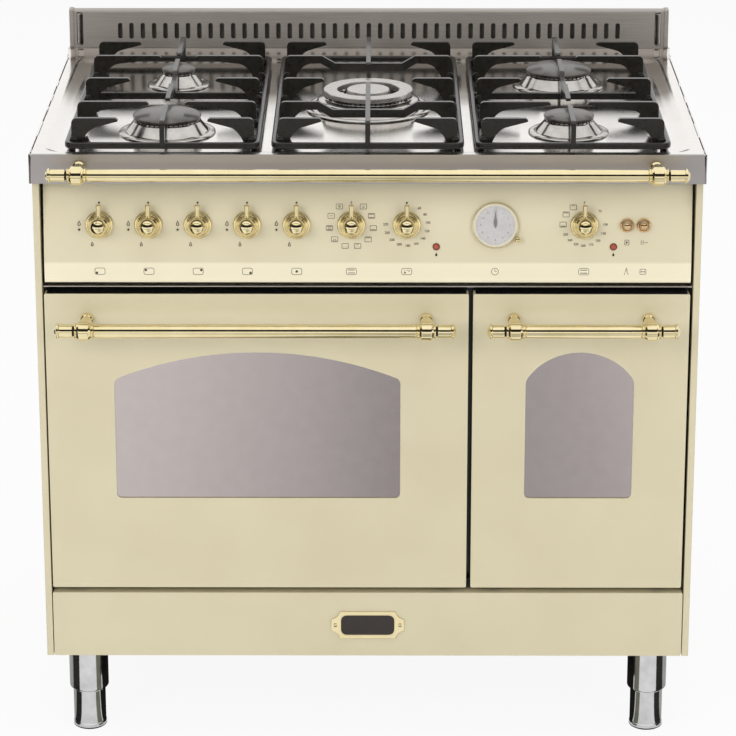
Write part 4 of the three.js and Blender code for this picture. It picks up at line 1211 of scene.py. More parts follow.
u = centre_of("knob_main_thermostat").x
marks.append(dot(u, 0.0299, 0.0014))
for i, degrees in enumerate((60, 80, 100, 120, 140, 160, 180, 200, 230, 250, 270)):
    words.append(written(str(degrees), 0.0046, *around(u, 0, 0.0282, 53.5 - 23.5 * i)))

u = centre_of("knob_small_oven").x
words.append(written("0", 0.0044, u, 0.0303))
for degrees, angle in zip((75, 100, 130, 150, 175, 200, 220, 240, 250),
                          (42, 1.6, -24, -49, -71, -92.5, -113, -133, -153)):
    words.append(written(str(degrees), 0.0044, *around(u, 0, 0.028, angle)))
for angle, kinds in ((178.5, ("bottom",)), (149.5, ("top",)), (122, ("grill",))):
    marks += function_box(*around(u, 0, 0.0285, angle), *kinds)

for name in ("main_oven", "small_oven"):
    lamp_at = centre_of("lamp_" + name)
    marks += drop(lamp_at.x, face_v(lamp_at.z) - 0.0129, 0.0052)
u = centre_of("button_oven_light").x
marks += [*lozenge(u, -0.0235, 0.0062, 0.0072, 0.001),
          [(u - 0.0012, -0.0255), (u + 0.0016, -0.0235), (u - 0.0012, -0.0215)]]
u = centre_of("button_oven_fan").x
marks += [stroke(u - 0.003 + 0.0025 * k, -0.0265, u - 0.003 + 0.0025 * k, -0.0205) for k in (0, 1)]
marks += blades_of_fan(u + 0.0035, -0.0235, 0.002)

at_dials = moved(merged(plate(marks, PRINT), *words), 0, 0, 0.00002)
piece("panel_print", on_face(at_dials, 0, DIAL_Z), ink, "chassis", "clock_ink")

LIP_Z = 0.6958
LIP_BOX = (0.0142, 0.0096, 0.0032)
WHERE = {"front_left": (-0.0042, -0.0021), "rear_left": (-0.0042, 0.0018), "rear_right": (0.0042, 0.0018),
         "front_right": (0.0042, -0.0021), "centre": (0, 0)}
marks, words = [], []
for name, (du, dv) in WHERE.items():
    u = centre_of("knob_" + name).x
    marks += [*lozenge(u, LIP_Z, *LIP_BOX), dot(u + du, LIP_Z + dv, 0.0017)]
for name in ("oven_function", "small_oven"):
    u = centre_of("knob_" + name).x
    marks += lozenge(u, LIP_Z, *LIP_BOX)
    marks += [stroke(u - 0.0046, LIP_Z + dv, u + 0.0046, LIP_Z + dv, 0.0009) for dv in (-0.0021, 0.0021)]
u = centre_of("knob_main_thermostat").x
marks += [*lozenge(u, LIP_Z, *LIP_BOX), dot(u - 0.0024, LIP_Z - 0.0018, 0.0012),
          stroke(u - 0.0024, LIP_Z - 0.0004, u - 0.0024, LIP_Z + 0.0024, 0.0005),
          *hoop(u + 0.0012, LIP_Z + 0.0018, 0.0008, 0.0003)]
words.append(written("C", 0.0032, u + 0.0036, LIP_Z + 0.0008))
u = centre_of("clock_case").x
marks += [*hoop(u, LIP_Z, 0.005), stroke(u, LIP_Z, u, LIP_Z + 0.0032),
          stroke(u + 0.0004, LIP_Z, u + 0.0028, LIP_Z)]
u = centre_of("button_oven_light").x
marks += [*hoop(u, LIP_Z + 0.0016, 0.0017), dot(u, LIP_Z + 0.0044, 0.0008)]
marks += [stroke(u + k * 0.0013, LIP_Z - 0.0008, u + k * 0.0028, LIP_Z - 0.0042) for k in (-1, 1)]
u = centre_of("button_oven_fan").x
marks += [*lozenge(u, LIP_Z, 0.0085, 0.0078, 0.0016), *blades_of_fan(u, LIP_Z, 0.0026)]

at_lip = merged(plate(marks, PRINT), *words)
at_lip.transform(Matrix.Translation((0, LIP_FACE - 0.00002, 0)) @ STANDING)
piece("lip_print", at_lip, ink, "chassis", "clock_ink")

# ---- Knobs -----------------------------------------------------------------------------------------
# Turned solid brass: a skirt with two fine steps, a waist and a ball, and a flared pin screwed into the
# ball that points to the setting. The spindle runs back through the panel to its tap or switch.
SKIRT = 0.0191
BALL = {"radius": 0.0117, "at": 0.022}
PIN = {"reach": 0.029, "at": 0.0135, "root": 0.0027, "tip": 0.0038}


def arc(radius, at, start, end, steps=16):
    """Points of a ball's outline, from one angle over its equator to another."""
    return [(radius * math.cos(a), at + radius * math.sin(a))
            for a in (math.radians(start + (end - start) * i / steps) for i in range(steps + 1))]


def knob():
    foot = eased([(0, -0.022), (0.003, -0.022), (0.003, 0.0005), (SKIRT, 0.0005), (SKIRT, 0.002),
                  (SKIRT - 0.0012, 0.0036), (0.0163, 0.0038), (0.0157, 0.003), (0.0149, 0.003),
                  (0.0144, 0.0046), (0.0131, 0.0052), (0.0127, 0.0046), (0.0119, 0.0046), (0.0112, 0.006),
                  (0.0086, 0.0074), (0.0071, 0.0096), (0.0068, 0.0112)], 0.0005, 3)
    body = turned(foot + arc(BALL["radius"], BALL["at"], -52, 90, 24)[1:], 64)
    pin = turned(eased([(0, 0), (PIN["root"], 0), (PIN["root"], 0.012), (PIN["tip"], PIN["reach"] - 0.0012),
                        (PIN["tip"] - 0.0008, PIN["reach"]), (0, PIN["reach"])], 0.0008, 3), 32)
    pin.transform(Matrix.Translation((0, 0, PIN["at"])) @ Matrix.Rotation(-math.pi / 2, 4, "X"))
    return fused(body, pin)


for name in KNOB_NAMES:
    node = "knob_" + name
    piece("turned_" + node, on_face(knob(), centre_of(node).x, DIAL_Z),
          brass, node, "brass_fittings", node, sharp=40)

# ---- Clock -----------------------------------------------------------------------------------------
# A wind-up timer clock: thin brass rim, ivory band and a silver-grey dial with its hours printed
# around it, two leaf hands under a thin glass, and a small brass ball at the rim that sets them.
case = centre_of("clock_case")
RIM, DIAL = 0.0309, 0.0262
DIAL_AT = 0.003  # face of the dial over the panel
ivory = enamel("ivory_band", (226, 217, 190), (232, 224, 200), 0.3)
dial_paint, nodes, links, shader = blank("silvered_dial")
cloud = grain(nodes, links, 0.015, (1, 1, 1), 3)
fine = grain(nodes, links, 0.0006, (1, 1, 1), 1, 2.0)
shader.inputs["Metallic"].default_value = 0.25
links.new(shades(nodes, links, cloud, (201, 196, 196), (216, 212, 212)), shader.inputs["Base Color"])
links.new(between(nodes, links, cloud, 0.42, 0.52), shader.inputs["Roughness"])
relief(nodes, links, shader, (fine, 0.000006))

band = turned(eased([(0, -0.014), (0.018, -0.014), (0.018, 0.0004), (RIM - 0.0011, 0.0004),
                     (RIM - 0.0011, 0.0042), (DIAL + 0.0016, 0.0046), (DIAL, 0.0036),
                     (DIAL, DIAL_AT - 0.0004), (0, DIAL_AT - 0.0004)], 0.0005, 3), 96)
piece("clock_band", on_face(band, case.x, DIAL_Z), ivory, "chassis", "clock_dial", "clock_case")
rim = turned(eased([(RIM, 0.0002), (RIM, 0.0044), (RIM - 0.0005, 0.0051), (RIM - 0.0012, 0.005),
                    (RIM - 0.0014, 0.0042), (RIM - 0.0014, 0.0002), (RIM, 0.0002)], 0.0003, 3), 96)
piece("clock_rim", on_face(rim, case.x, DIAL_Z), brass, "chassis", "brass_fittings")
face = turned([(0, DIAL_AT - 0.0003), (DIAL - 0.0002, DIAL_AT - 0.0003), (DIAL - 0.0002, DIAL_AT),
               (0, DIAL_AT)], 96)
piece("clock_dial", on_face(face, case.x, DIAL_Z), dial_paint, "chassis", "clock_dial")

dial_ink = plain_finish("dial_ink", 0.001, (116, 108, 108), (136, 128, 128), 0.002, 0.45, 0.6)
hours = [written(str(hour), 0.0043, *around(0, 0, 0.0196, 90 - 30 * hour)) for hour in range(1, 13)]
ticks = []
for minute in range(60):
    inner = 0.0238 if minute % 5 else 0.0231
    ticks.append(stroke(*around(0, 0, inner, 6 * minute), *around(0, 0, 0.025, 6 * minute),
                        0.0002 if minute % 5 else 0.0005))
printed = merged(plate(ticks, PRINT), *hours)
piece("dial_hours", on_face(moved(printed, 0, 0, DIAL_AT + 0.00002), case.x, DIAL_Z),
      dial_ink, "chassis", "clock_ink")

hand_paint = plain_finish("blackened_hand", 0.002, (38, 36, 36), (56, 53, 52), 0.003, 0.3, 0.45)


def leaf_hand(length, width, tail, height, hub):
    """A flat leaf-shaped hand on a round hub."""
    half = [(0.0006, -tail), (width * 0.35, -tail * 0.4), (width * 0.46, length * 0.16),
            (width / 2, length * 0.36), (width * 0.36, length * 0.66), (0.0002, length)]
    outline = half + [(-u, v) for u, v in reversed(half)]
    leaf = moved(plate([outline], 0.0005), 0, 0, height)
    boss = moved(turned(eased([(0, 0), (hub, 0), (hub, 0.0006), (0, 0.0006)], 0.0002, 2), 24), 0, 0, height)
    return fused(leaf, boss)


hour_hand = leaf_hand(0.013, 0.005, 0.003, 0.0034, 0.0016)
piece("leaf_hour_hand", on_face(hour_hand, case.x, DIAL_Z),
      hand_paint, "clock_hour_hand", "clock_ink", "clock_hour_hand")
minute_hand = leaf_hand(0.0184, 0.0034, 0.0036, 0.0043, 0.0013)
piece("leaf_minute_hand", on_face(minute_hand, case.x, DIAL_Z), hand_paint, "clock_minute_hand", "clock_ink",
      "clock_minute_hand")

stem = eased([(0, -0.01), (0.0015, -0.01), (0.0015, 0.001), (0.003, 0.001), (0.003, 0.0022),
              (0.002, 0.003)], 0.0003, 2)
ball = turned(stem + arc(0.0043, 0.007, -60, 90, 12), 40)
piece("set_knob_ball", on_face(ball, centre_of("clock_set_knob").x, SET_KNOB_Z), brass, "clock_set_knob",
      "brass_fittings", "clock_set_knob")

# ---- Lamps and push buttons ------------------------------------------------------------------------
# Each lamp is a domed red lens in a dark bezel. Each button is a ball of rose brass that slides in a
# dished ring pressed on the panel.
lens_red = plain_finish("red_lens", 0.003, (168, 72, 50), (186, 92, 68), 0.004, 0.18, 0.28)
shader = lens_red.node_tree.nodes["Principled BSDF"]
shader.inputs["Subsurface Weight"].default_value = 0.25
shader.inputs["Subsurface Scale"].default_value = 0.002
shader.inputs["Coat Weight"].default_value = 0.4
bezel_brown = enamel("lamp_bezel", (92, 50, 40), (112, 66, 52), 0.4)
rose_brass = burnished("rose_brass", (236, 202, 158), (244, 216, 176), 0.1)

for name in ("main_oven", "small_oven"):
    node = "lamp_" + name
    place = centre_of(node)
    lens = turned([(0, -0.008), (0.0036, -0.008), (0.0036, 0.0003), (0.0041, 0.0003)]
                  + arc(0.0041, 0.0003, 0, 90, 10)[1:], 40)
    for vert in lens.vertices:
        vert.co.z = vert.co.z if vert.co.z < 0.0003 else 0.0003 + (vert.co.z - 0.0003) * 0.6
    piece("lens_" + name, on_face(lens, place.x, place.z), lens_red, "chassis", "lamp_lens", node)
    bezel = turned(eased([(0.0042, 0.0002), (0.0049, 0.0002), (0.0049, 0.0012), (0.0042, 0.0016),
                          (0.0042, 0.0002)], 0.0003, 3), 40)
    piece("bezel_" + name, on_face(bezel, place.x, place.z), bezel_brown, "chassis", "clock_ink")

for name in ("light", "fan"):
    node = "button_oven_" + name
    x = centre_of(node).x
    stem = eased([(0, -0.018), (0.003, -0.018), (0.003, 0.0036)], 0.0003, 2)
    ball = turned(stem + arc(0.0056, 0.008, -54, 90, 14)[1:], 48)
    piece("ball_" + node, on_face(ball, x, DIAL_Z), rose_brass, node, "brass_fittings", node)
    ring = turned(eased([(0.0062, 0.0002), (0.0098, 0.0002), (0.0098, 0.0012), (0.0086, 0.0034),
                         (0.0074, 0.0042), (0.0066, 0.0034), (0.0062, 0.0016), (0.0062, 0.0002)],
                        0.0007, 4), 64)
    piece("ring_" + node, on_face(ring, x, DIAL_Z), rose_brass, "chassis", "brass_fittings")

# ---- Casing ----------------------------------------------------------------------------------------
# Enamelled sides folded round the front edge, a galvanised back with ribs and cooling slots, the bright
# strip over the doors, and the black front that the doors close on.
def at(y):
    """The place of a depth in millimetres behind the hob's front edge."""
    return HOB_FRONT + y * MM


def row_tree():
    """Sets copies of a piece along a line."""
    tree, given, result = grower("row_of_pieces", *IN_A_ROW)
    return coated(tree, given, copies_at(tree, given, row_places(tree, given)), result)


row_of_pieces = row_tree()


def in_row(mesh, material, count, first, step):
    return grown(row_of_pieces, bpy.data.meshes.new("host"), Piece=aside(mesh), Count=count, First=first,
                 Step=step, Finish=material)


def block(x0, x1, y0, y1, z0, z1, radius=0.0):
    """A block with its upright edges eased, for cutting and for small parts."""
    return moved(plate([rectangle(x0, x1, y0, y1, radius)], z1 - z0), 0, 0, z0)


def screw_head(radius, height):
    """A domed head with a cross recess, looking up."""
    dome = turned(eased([(0, 0), (radius, 0), (radius, height * 0.35), (radius * 0.55, height), (0, height)],
                        radius * 0.3, 4), 28)
    arm, across = radius * 0.55, radius * 0.13
    cross = [block(-arm, arm, -across, across, height * 0.45, height * 2),
             block(-across, across, -arm, arm, height * 0.45, height * 2)]
    return pierced(dome, fused(*cross))


galvanised = burnished("galvanised_sheet", (150, 152, 152), (184, 186, 185), 0.36)
screw_steel = burnished("screw_steel", (160, 158, 154), (196, 194, 190), 0.25)
black_enamel = enamel("black_enamel", (22, 22, 23), (34, 33, 33), 0.24)

SIDE_VIEW = ((447, 8), (447, 598), (430, 598), (430, 596.5), (445.5, 596.5), (445.5, 9.5), (439.5, 9.5),
             (439.5, 24), (438, 24), (438, 8))
back_screw = screw_head(0.0036, 0.0014)
back_screw.transform(Matrix.Rotation(-math.pi / 2, 4, "X"))
for name, side in (("left", -1), ("right", 1)):
    low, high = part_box(name + "_side_panel")
    outline = [(side * x * MM, at(y)) for x, y in eased(SIDE_VIEW, 1.2, 4, closed=True)]
    piece("side_sheet_" + name, moved(plate([outline], high.z - low.z), 0, 0, low.z), cream, "chassis",
          "cream_enamel", name + "_side_panel")
    screws = in_row(back_screw, screw_steel, 5, (side * 0.4375, at(598.1), low.z + 0.03), (0, 0, 0.155))
    piece("side_screws_" + name, screws, screw_steel, "chassis", "back_sheet")

low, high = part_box("back_panel")
sheet = upright([rectangle(low.x + 0.0165, high.x - 0.0165, low.z, high.z, 0.004)], 0.0008, at(597.6))
slot = upright([rectangle(-0.002, 0.002, 0, 0.034, 0.0019)], 0.01, at(593))
for z in (0.70, 0.75, 0.20):
    sheet = grown(pierced_row, sheet, Piece=aside(slot), Count=46, First=(-0.315, 0, z), Step=(0.014, 0, 0))
ribs = [upright([rectangle(-x, x, z0, z1, 0.03, 6),
                 rectangle(-x + 0.008, x - 0.008, z0 + 0.008, z1 - 0.008, 0.023, 6)],
                0.0014, at(598.1))
        for x, z0, z1 in ((0.40, 0.17, 0.80), (0.34, 0.26, 0.46), (0.34, 0.48, 0.67))]
back = piece("back_sheet", fused(sheet, *ribs), galvanised, "chassis", "back_sheet", "back_panel")
ease_edges(back, 0.0005)
rows = [in_row(back_screw, screw_steel, 9, (-0.4, at(598.3), z), (0.1, 0, 0)) for z in (0.148, 0.812)]
piece("back_screws", merged(*rows), screw_steel, "chassis", "back_sheet")

low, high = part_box("trim_strip")
bright_steel = stainless("bright_steel", (205, 198, 192), (232, 226, 220), 0.2)
strip = drawn_across(rectangle(low.y, high.y, low.z - 0.0018, low.z + 0.0004, 0.0009), low.x, high.x)
piece("trim_bar", strip, bright_steel, "chassis", "hob_steel", "trim_strip")

# sides of the oven mouth in millimetres; then in metres the window's half width and rise, the place of
# a handle's posts and the radius of its bar
DOORS = {"main": (-385, 85, 0.19435, 0.039, 0.2287, 0.0093),
         "small": (190, 386, 0.0736, 0.0392, 0.0908, 0.0093)}
MOUTH_LOW, MOUTH_HIGH = 0.290, 0.620  # above the floor
PIN_Y, PIN_Z = at(20), 0.244  # hinge pins
HINGE_INSET = 0.032  # from the sides of a door to its hinge arms
low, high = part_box("front_frame")
mouths = [rectangle(x0 * MM, x1 * MM, MOUTH_LOW, MOUTH_HIGH, 0.012, 6) for x0, x1, *rest in DOORS.values()]
front = [upright([rectangle(low.x, high.x, low.z, high.z, 0.003), *mouths], 0.002, at(55))]
hinges = [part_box(name + "_door_panel")[k].x + (HINGE_INSET, -HINGE_INSET)[k] for name in DOORS
          for k in (0, 1)]
for x in hinges:
    arm = drawn_across(rectangle(at(15), at(56), 0.239, 0.249, 0.0045, 6), x - 0.003, x + 0.003)
    pin = turned(eased([(0, -0.011), (0.003, -0.011), (0.003, 0.011), (0, 0.011)], 0.0006, 3), 28)
    pin.transform(Matrix.Translation((x, PIN_Y, PIN_Z)) @ Matrix.Rotation(math.pi / 2, 4, "Y"))
    front += [arm, pin]
piece("door_frame", fused(*front), black_enamel, "chassis", "black_enamel", "front_frame")

rope, nodes, links, shader = blank("seal_rope")
weave = grain(nodes, links, 0.0016, (1, 1, 1), 2)
links.new(shades(nodes, links, weave, (58, 56, 54), (92, 89, 85)), shader.inputs["Base Color"])
links.new(between(nodes, links, weave, 0.75, 0.95), shader.inputs["Roughness"])
relief(nodes, links, shader, (weave, 0.0004))
for name, (x0, x1, *rest) in DOORS.items():
    rings = [rectangle(x0 * MM - g, x1 * MM + g, MOUTH_LOW - g, MOUTH_HIGH + g, 0.012 + g, 6)
             for g in (0.012, 0.004)]
    seal = piece("mouth_seal_" + name, upright(rings, 0.0018, at(53.1)), rope, "chassis", "black_enamel")
    ease_edges(seal, 0.0008, 3)

# ---- Ovens -----------------------------------------------------------------------------------------
# Black enamelled linings with rounded corners, three pressed ledges a side, a grill element under the
# roof and a lamp; the large one also has the slotted cover of its fan. A wire rack slides on the ledges.
def tube(points, radius, closed=False):
    """A round bar along a path."""
    curve = bpy.data.curves.new("tube", "CURVE")
    curve.dimensions = "3D"
    curve.bevel_depth = radius
    curve.bevel_resolution = 3
    curve.use_fill_caps = True
    spline = curve.splines.new("POLY")
    spline.points.add(len(points) - 1)
    for point, place in zip(spline.points, points):
        point.co = (*place, 1)
    spline.use_cyclic_u = closed
    return taken_from(bpy.data.objects.new("tube", curve))


oven_enamel = enamel("oven_enamel", (38, 38, 41), (56, 56, 60), 0.22)
nodes, links = oven_enamel.node_tree.nodes, oven_enamel.node_tree.links
flecks = grain(nodes, links, 0.0022, (1, 1, 1), 0, 11.0)
pick = nodes.new("ShaderNodeMath")
pick.operation = "GREATER_THAN"
pick.inputs[1].default_value = 0.66
links.new(flecks, pick.inputs[0])
speckled = nodes.new("ShaderNodeMix")
speckled.data_type = "RGBA"
speckled.inputs["B"].default_value = tint((150, 150, 152))
oven_base = nodes["Principled BSDF"].inputs["Base Color"]
links.new(pick.outputs[0], speckled.inputs["Factor"])
links.new(oven_base.links[0].from_socket, speckled.inputs["A"])
links.new(speckled.outputs["Result"], oven_base)

rack_wire = burnished("rack_wire", (196, 196, 194), (222, 222, 220), 0.16)
element_steel = burnished("element_steel", (96, 90, 84), (124, 117, 108), 0.34)
lamp_glass = burnished("lamp_glass", (228, 226, 216), (240, 238, 230), 0.1, 0.0, 0.6)

for name in DOORS:
    low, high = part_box(name + "_oven_liner")
    middle = (low.x + high.x) / 2
    walls = upright([rectangle(low.x, high.x, low.z, high.z, 0.014, 6),
                     rectangle(low.x + 0.002, high.x - 0.002, low.z + 0.002, high.z - 0.002, 0.012, 6)],
                    high.y - low.y, low.y)
    rear = upright([rectangle(low.x, high.x, low.z, high.z, 0.014, 6)], 0.002, high.y - 0.002)
    piece("oven_lining_" + name, fused(walls, rear), oven_enamel, "chassis", "black_enamel",
          name + "_oven_liner")
    ledges = []
    for side, edge in ((1, low.x + 0.002), (-1, high.x - 0.002)):
        nose = eased([(edge - side * 0.001, -0.004), (edge + side * 0.007, -0.0034),
                      (edge + side * 0.007, -0.0006), (edge - side * 0.001, 0)], 0.0012, 3, closed=True)
        ledge = upright([nose], 0.3477, low.y + 0.02)
        ledges.append(in_row(ledge, oven_enamel, 3, (0, 0, 0.370), (0, 0, 0.07)))
    piece("oven_ledges_" + name, merged(*ledges), oven_enamel, "chassis", "black_enamel")

    reach = (high.x - low.x) / 2 - 0.03
    turns = 3 if name == "main" else 1
    path = []
    for k in range(2 * turns):
        x = middle - reach + 2 * reach * k / (2 * turns - 1)
        ys = (0.14, -0.15) if k % 2 == 0 else (-0.15, 0.14)
        path += [(x, y, 0.602) for y in ys]
    path = [(path[0][0], high.y - 0.001, 0.602)] + path[1:-1] + [(path[-1][0], high.y - 0.001, 0.602)]
    piece("grill_element_" + name, tube(eased(path, 0.02, 6), 0.0032), element_steel, "chassis", "rack_wire")
    bulb = turned(eased([(0, 0), (0.024, 0), (0.024, 0.004), (0.019, 0.012), (0, 0.016)], 0.004, 5), 40)
    bulb.transform(Matrix.Translation((high.x - 0.055, high.y - 0.0021, 0.575)) @ STANDING)
    piece("oven_lamp_" + name, bulb, lamp_glass, "chassis", "lamp_lens")

    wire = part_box(name + "_oven_rack")
    x0, x1, y0, y1 = wire[0].x + 0.0025, wire[1].x - 0.0025, wire[0].y + 0.0025, wire[1].y - 0.0025
    z = wire[0].z + 0.0025
    frame_path = [(x, y, z) for x, y in rectangle(x0, x1, y0, y1, 0.014, 6)]
    count = round((x1 - x0) / 0.0155)
    step = (x1 - x0) / count
    rod = tube([(0, y0, 0), (0, y1, 0)], 0.0014)
    rods = in_row(rod, rack_wire, count - 1, (x0 + step, 0, z + 0.001), (step, 0, 0))
    braces = [tube([(x0, y, z - 0.0009), (x1, y, z - 0.0009)], 0.0015)
              for y in (y0 + 0.09, (y0 + y1) / 2, y1 - 0.09)]
    piece("wire_rack_" + name, merged(tube(frame_path, 0.0025, True), rods, *braces), rack_wire, "chassis",
          "rack_wire", name + "_oven_rack")

low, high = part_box("main_oven_liner")
cover = turned(eased([(0, 0), (0.1, 0), (0.1, 0.004), (0.088, 0.014), (0, 0.014)], 0.006, 6), 96)
fin = block(-0.017, 0.017, -0.0022, 0.0022, -0.01, 0.03, 0.002)
vents = [in_ring(fin, count, radius) for count, radius in ((24, 0.062), (8, 0.026))]
cover = pierced(cover, *vents)
cover.transform(Matrix.Translation(((low.x + high.x) / 2, high.y - 0.0021, 0.455)) @ STANDING)
piece("fan_cover", cover, oven_enamel, "chassis", "black_enamel")

# ---- Doors -----------------------------------------------------------------------------------------
# An enamelled skin with its four edges folded back and an arched window of mirrored glass; behind it a
# black tray with a second pane, the bearings of the hinge pins and the slots that clear the hinge arms.
glass_tint = burnished("mirror_glass", (197, 187, 185), (201, 191, 189), 0.1, 1.0, 0.0)
dark_glass = enamel("inner_glass", (20, 21, 22), (26, 27, 28), 0.08)


def arched(middle, half, rise, grow=0.0):
    """A window outline: square feet with a small radius, straight sides and a shallow arch."""
    half = half + grow
    low, spring = 0.370 - grow, 0.542 + grow
    radius = (half ** 2 + rise ** 2) / (2 * rise)
    inner = half - 0.014
    crown = [(middle + inner * k / 12, spring + rise - radius
              + math.sqrt(radius ** 2 - (inner * k / 12) ** 2))
             for k in range(12, -13, -1)]
    corners = [(middle - half, low), (middle + half, low), (middle + half, spring),
               *crown, (middle - half, spring)]
    return eased(corners, 0.008, 5, closed=True)


for name, (x0, x1, half, rise, post, bar) in DOORS.items():
    body = name + "_door"
    low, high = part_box(body + "_panel")
    middle = (low.x + high.x) / 2
    bearings_x = (low.x + HINGE_INSET, high.x - HINGE_INSET)
    outline = rectangle(low.x, high.x, low.z, high.z, 0.0025, 4)
    hollow = rectangle(low.x + 0.002, high.x - 0.002, low.z + 0.002, high.z - 0.002, 0.001, 2)
    skin = fused(upright([outline, arched(middle, half, rise)], 0.002, low.y),
                 upright([outline, hollow], high.y - low.y, low.y))
    clear = [block(x - 0.008, x + 0.008, low.y + 0.004, high.y + 0.02, low.z - 0.005, low.z + 0.005)
             for x in bearings_x]
    skin = piece("door_skin_" + name, pierced(skin, *clear), cream, body, "cream_enamel", body + "_panel")
    ease_edges(skin, 0.0009, 3)

    # Painted shade: a thin black plate over the door's top fold, where the fold lies in shadow under the
    # trim.
    cap = moved(plate([rectangle(low.x + 0.003, high.x - 0.003, low.y + 0.0012, high.y, 0.002)], 0.0004),
                0, 0, high.z)
    piece("top_shield_" + name, cap, black_enamel, body, "black_enamel")

    pane_low, pane_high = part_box(body + "_glass")
    pane = upright([arched(middle, half, rise, 0.0138)], pane_high.y - pane_low.y, pane_low.y)
    pane = piece("window_pane_" + name, pane, glass_tint, body, "mirror_glass", body + "_glass")
    ease_edges(pane, 0.0006, 2)

    low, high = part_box(body + "_liner")
    outline = rectangle(low.x, high.x, low.z, high.z, 0.004, 4)
    hollow = rectangle(low.x + 0.0015, high.x - 0.0015, low.z + 0.0015, high.z - 0.0015, 0.003, 4)
    wide = half - 0.008
    opening = rectangle(middle - wide, middle + wide, 0.378, 0.564, 0.01, 5)
    collar = rectangle(middle - wide - 0.0015, middle + wide + 0.0015, 0.3765, 0.5655, 0.0115, 5)
    solids = [upright([outline, hollow], high.y - low.y, low.y),
              upright([outline, opening], 0.0015, high.y - 0.0015),
              upright([collar, opening], high.y - low.y - 0.0007, low.y)]
    solids += [block(x - 0.013, x + 0.013, low.y, at(29), low.z + 0.0007, 0.253, 0.001) for x in bearings_x]
    clear = [block(x - 0.0036, x + 0.0036, low.y - 0.02, high.y + 0.02, low.z - 0.02, MOUTH_LOW)
             for x in bearings_x]
    for x in bearings_x:
        bore = turned([(0, -0.0115), (0.00335, -0.0115), (0.00335, 0.0115), (0, 0.0115)], 32)
        bore.transform(Matrix.Translation((x, PIN_Y, PIN_Z)) @ Matrix.Rotation(math.pi / 2, 4, "Y"))
        clear.append(bore)
    tray = fused(*solids)
    for solid in clear:
        tray = pierced(tray, solid)
    slot = block(-0.014, 0.014, at(38), at(41), high.z - 0.01, high.z + 0.01, 0.0013)
    count = round((high.x - low.x - 0.08) / 0.045)
    first = middle - 0.045 * (count - 1) / 2
    tray = grown(pierced_row, tray, Piece=aside(slot), Count=count, First=(first, 0, 0), Step=(0.045, 0, 0))
    tray = piece("door_tray_" + name, tray, black_enamel, body, "back_sheet", body + "_liner")
    ease_edges(tray, 0.0004, 2, 50)

    inner = rectangle(middle - wide + 0.0005, middle + wide - 0.0005, 0.3785, 0.5635, 0.0095, 5)
    inner_pane = piece("inner_pane_" + name, upright([inner], 0.004, high.y - 0.007),
                       dark_glass, body, "black_enamel")
    ease_edges(inner_pane, 0.0006, 2)
    head = turned(eased([(0, 0), (0.0034, 0), (0.0034, 0.0005), (0, 0.0007)], 0.0004, 3), 24)
    head.transform(Matrix.Rotation(-math.pi / 2, 4, "X"))
    fixings = []
    for z in (0.3705, 0.5715):
        fixings.append(in_row(head, screw_steel, 3, (middle - wide * 0.8, high.y - 0.0001, z),
                              (wide * 0.8, 0, 0)))
    for x in (low.x + 0.012, high.x - 0.012):
        fixings.append(in_row(head, screw_steel, 3, (x, high.y - 0.0001, low.z + 0.07), (0, 0, 0.14)))
    piece("tray_screws_" + name, merged(*fixings), screw_steel, body, "back_sheet")

    piece("door_rail_" + name, brass_rail(body + "_handle", bar, post, LIP_FACE),
          brass, body, "brass_fittings", body + "_handle")
    piece("door_rail_necks_" + name, rail_necks(body + "_handle", bar, post), painted_groove_shade, body, "black_enamel")

# ---- Plinth and plate ------------------------------------------------------------------------------
# The enamelled panel under the doors, folded back on all sides. Its brass plate has scooped corners, a
# raised border and a dark enamelled field, and is held by two screws. It bears no words.
low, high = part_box("plinth_panel")
PLINTH_HALF = 0.4368
outline = rectangle(-PLINTH_HALF, PLINTH_HALF, low.z, high.z, 0.0025, 4)
hollow = rectangle(0.002 - PLINTH_HALF, PLINTH_HALF - 0.002, low.z + 0.002, high.z - 0.002, 0.001, 2)
plinth = fused(upright([outline], 0.002, low.y), upright([outline, hollow], high.y - low.y, low.y))
plinth = piece("plinth_sheet", plinth, cream, "chassis", "cream_enamel", "plinth_panel")
ease_edges(plinth, 0.0009, 3)

low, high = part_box("nameplate")
PLATE_Z = (low.z + high.z) / 2


def scooped(shrink):
    """The plate's outline, with quarter scoops between the straight edges and the rounded ears."""
    half = [(38.5, -19.9), (39.6, -16.6), (41.8, -13.2), (45, -10.4), (49.3, -8.9), (50.3, -7.4),
            (50.5, -3), (50.5, 3), (50.3, 7.4), (49.3, 8.9), (45, 10.4), (41.8, 13.2), (39.6, 16.6),
            (38.5, 19.9)]
    return [(side * x * MM * (1 - shrink / 50.5), z * MM * (1 - shrink / 19.9) + PLATE_Z)
            for side in (1, -1) for x, z in half[::side]]


border = upright([scooped(0), rectangle(-0.0385, 0.0385, PLATE_Z - 0.0158, PLATE_Z + 0.0158, 0.0105, 8)],
                 0.0004, low.y)
bare_plate = piece("bare_plate", fused(upright([scooped(0)], 0.0013, low.y + 0.0003), border),
                   brass, "chassis", "brass_fittings", "nameplate")
ease_edges(bare_plate, 0.0003)
dark_field = enamel("dark_field", (34, 26, 22), (46, 36, 30), 0.4)
field = upright([rectangle(-0.0372, 0.0372, PLATE_Z - 0.0147, PLATE_Z + 0.0147, 0.0095, 8)],
                0.0002, low.y + 0.0002)
piece("plate_field", field, dark_field, "chassis", "clock_ink")
plate_screw = screw_head(0.0029, 0.0011)
plate_screw.transform(STANDING)
screws = in_row(plate_screw, brass, 2, (-0.0451, low.y - 0.0001, PLATE_Z), (0.0902, 0, 0))
piece("plate_screws", screws, brass, "chassis", "brass_fittings")

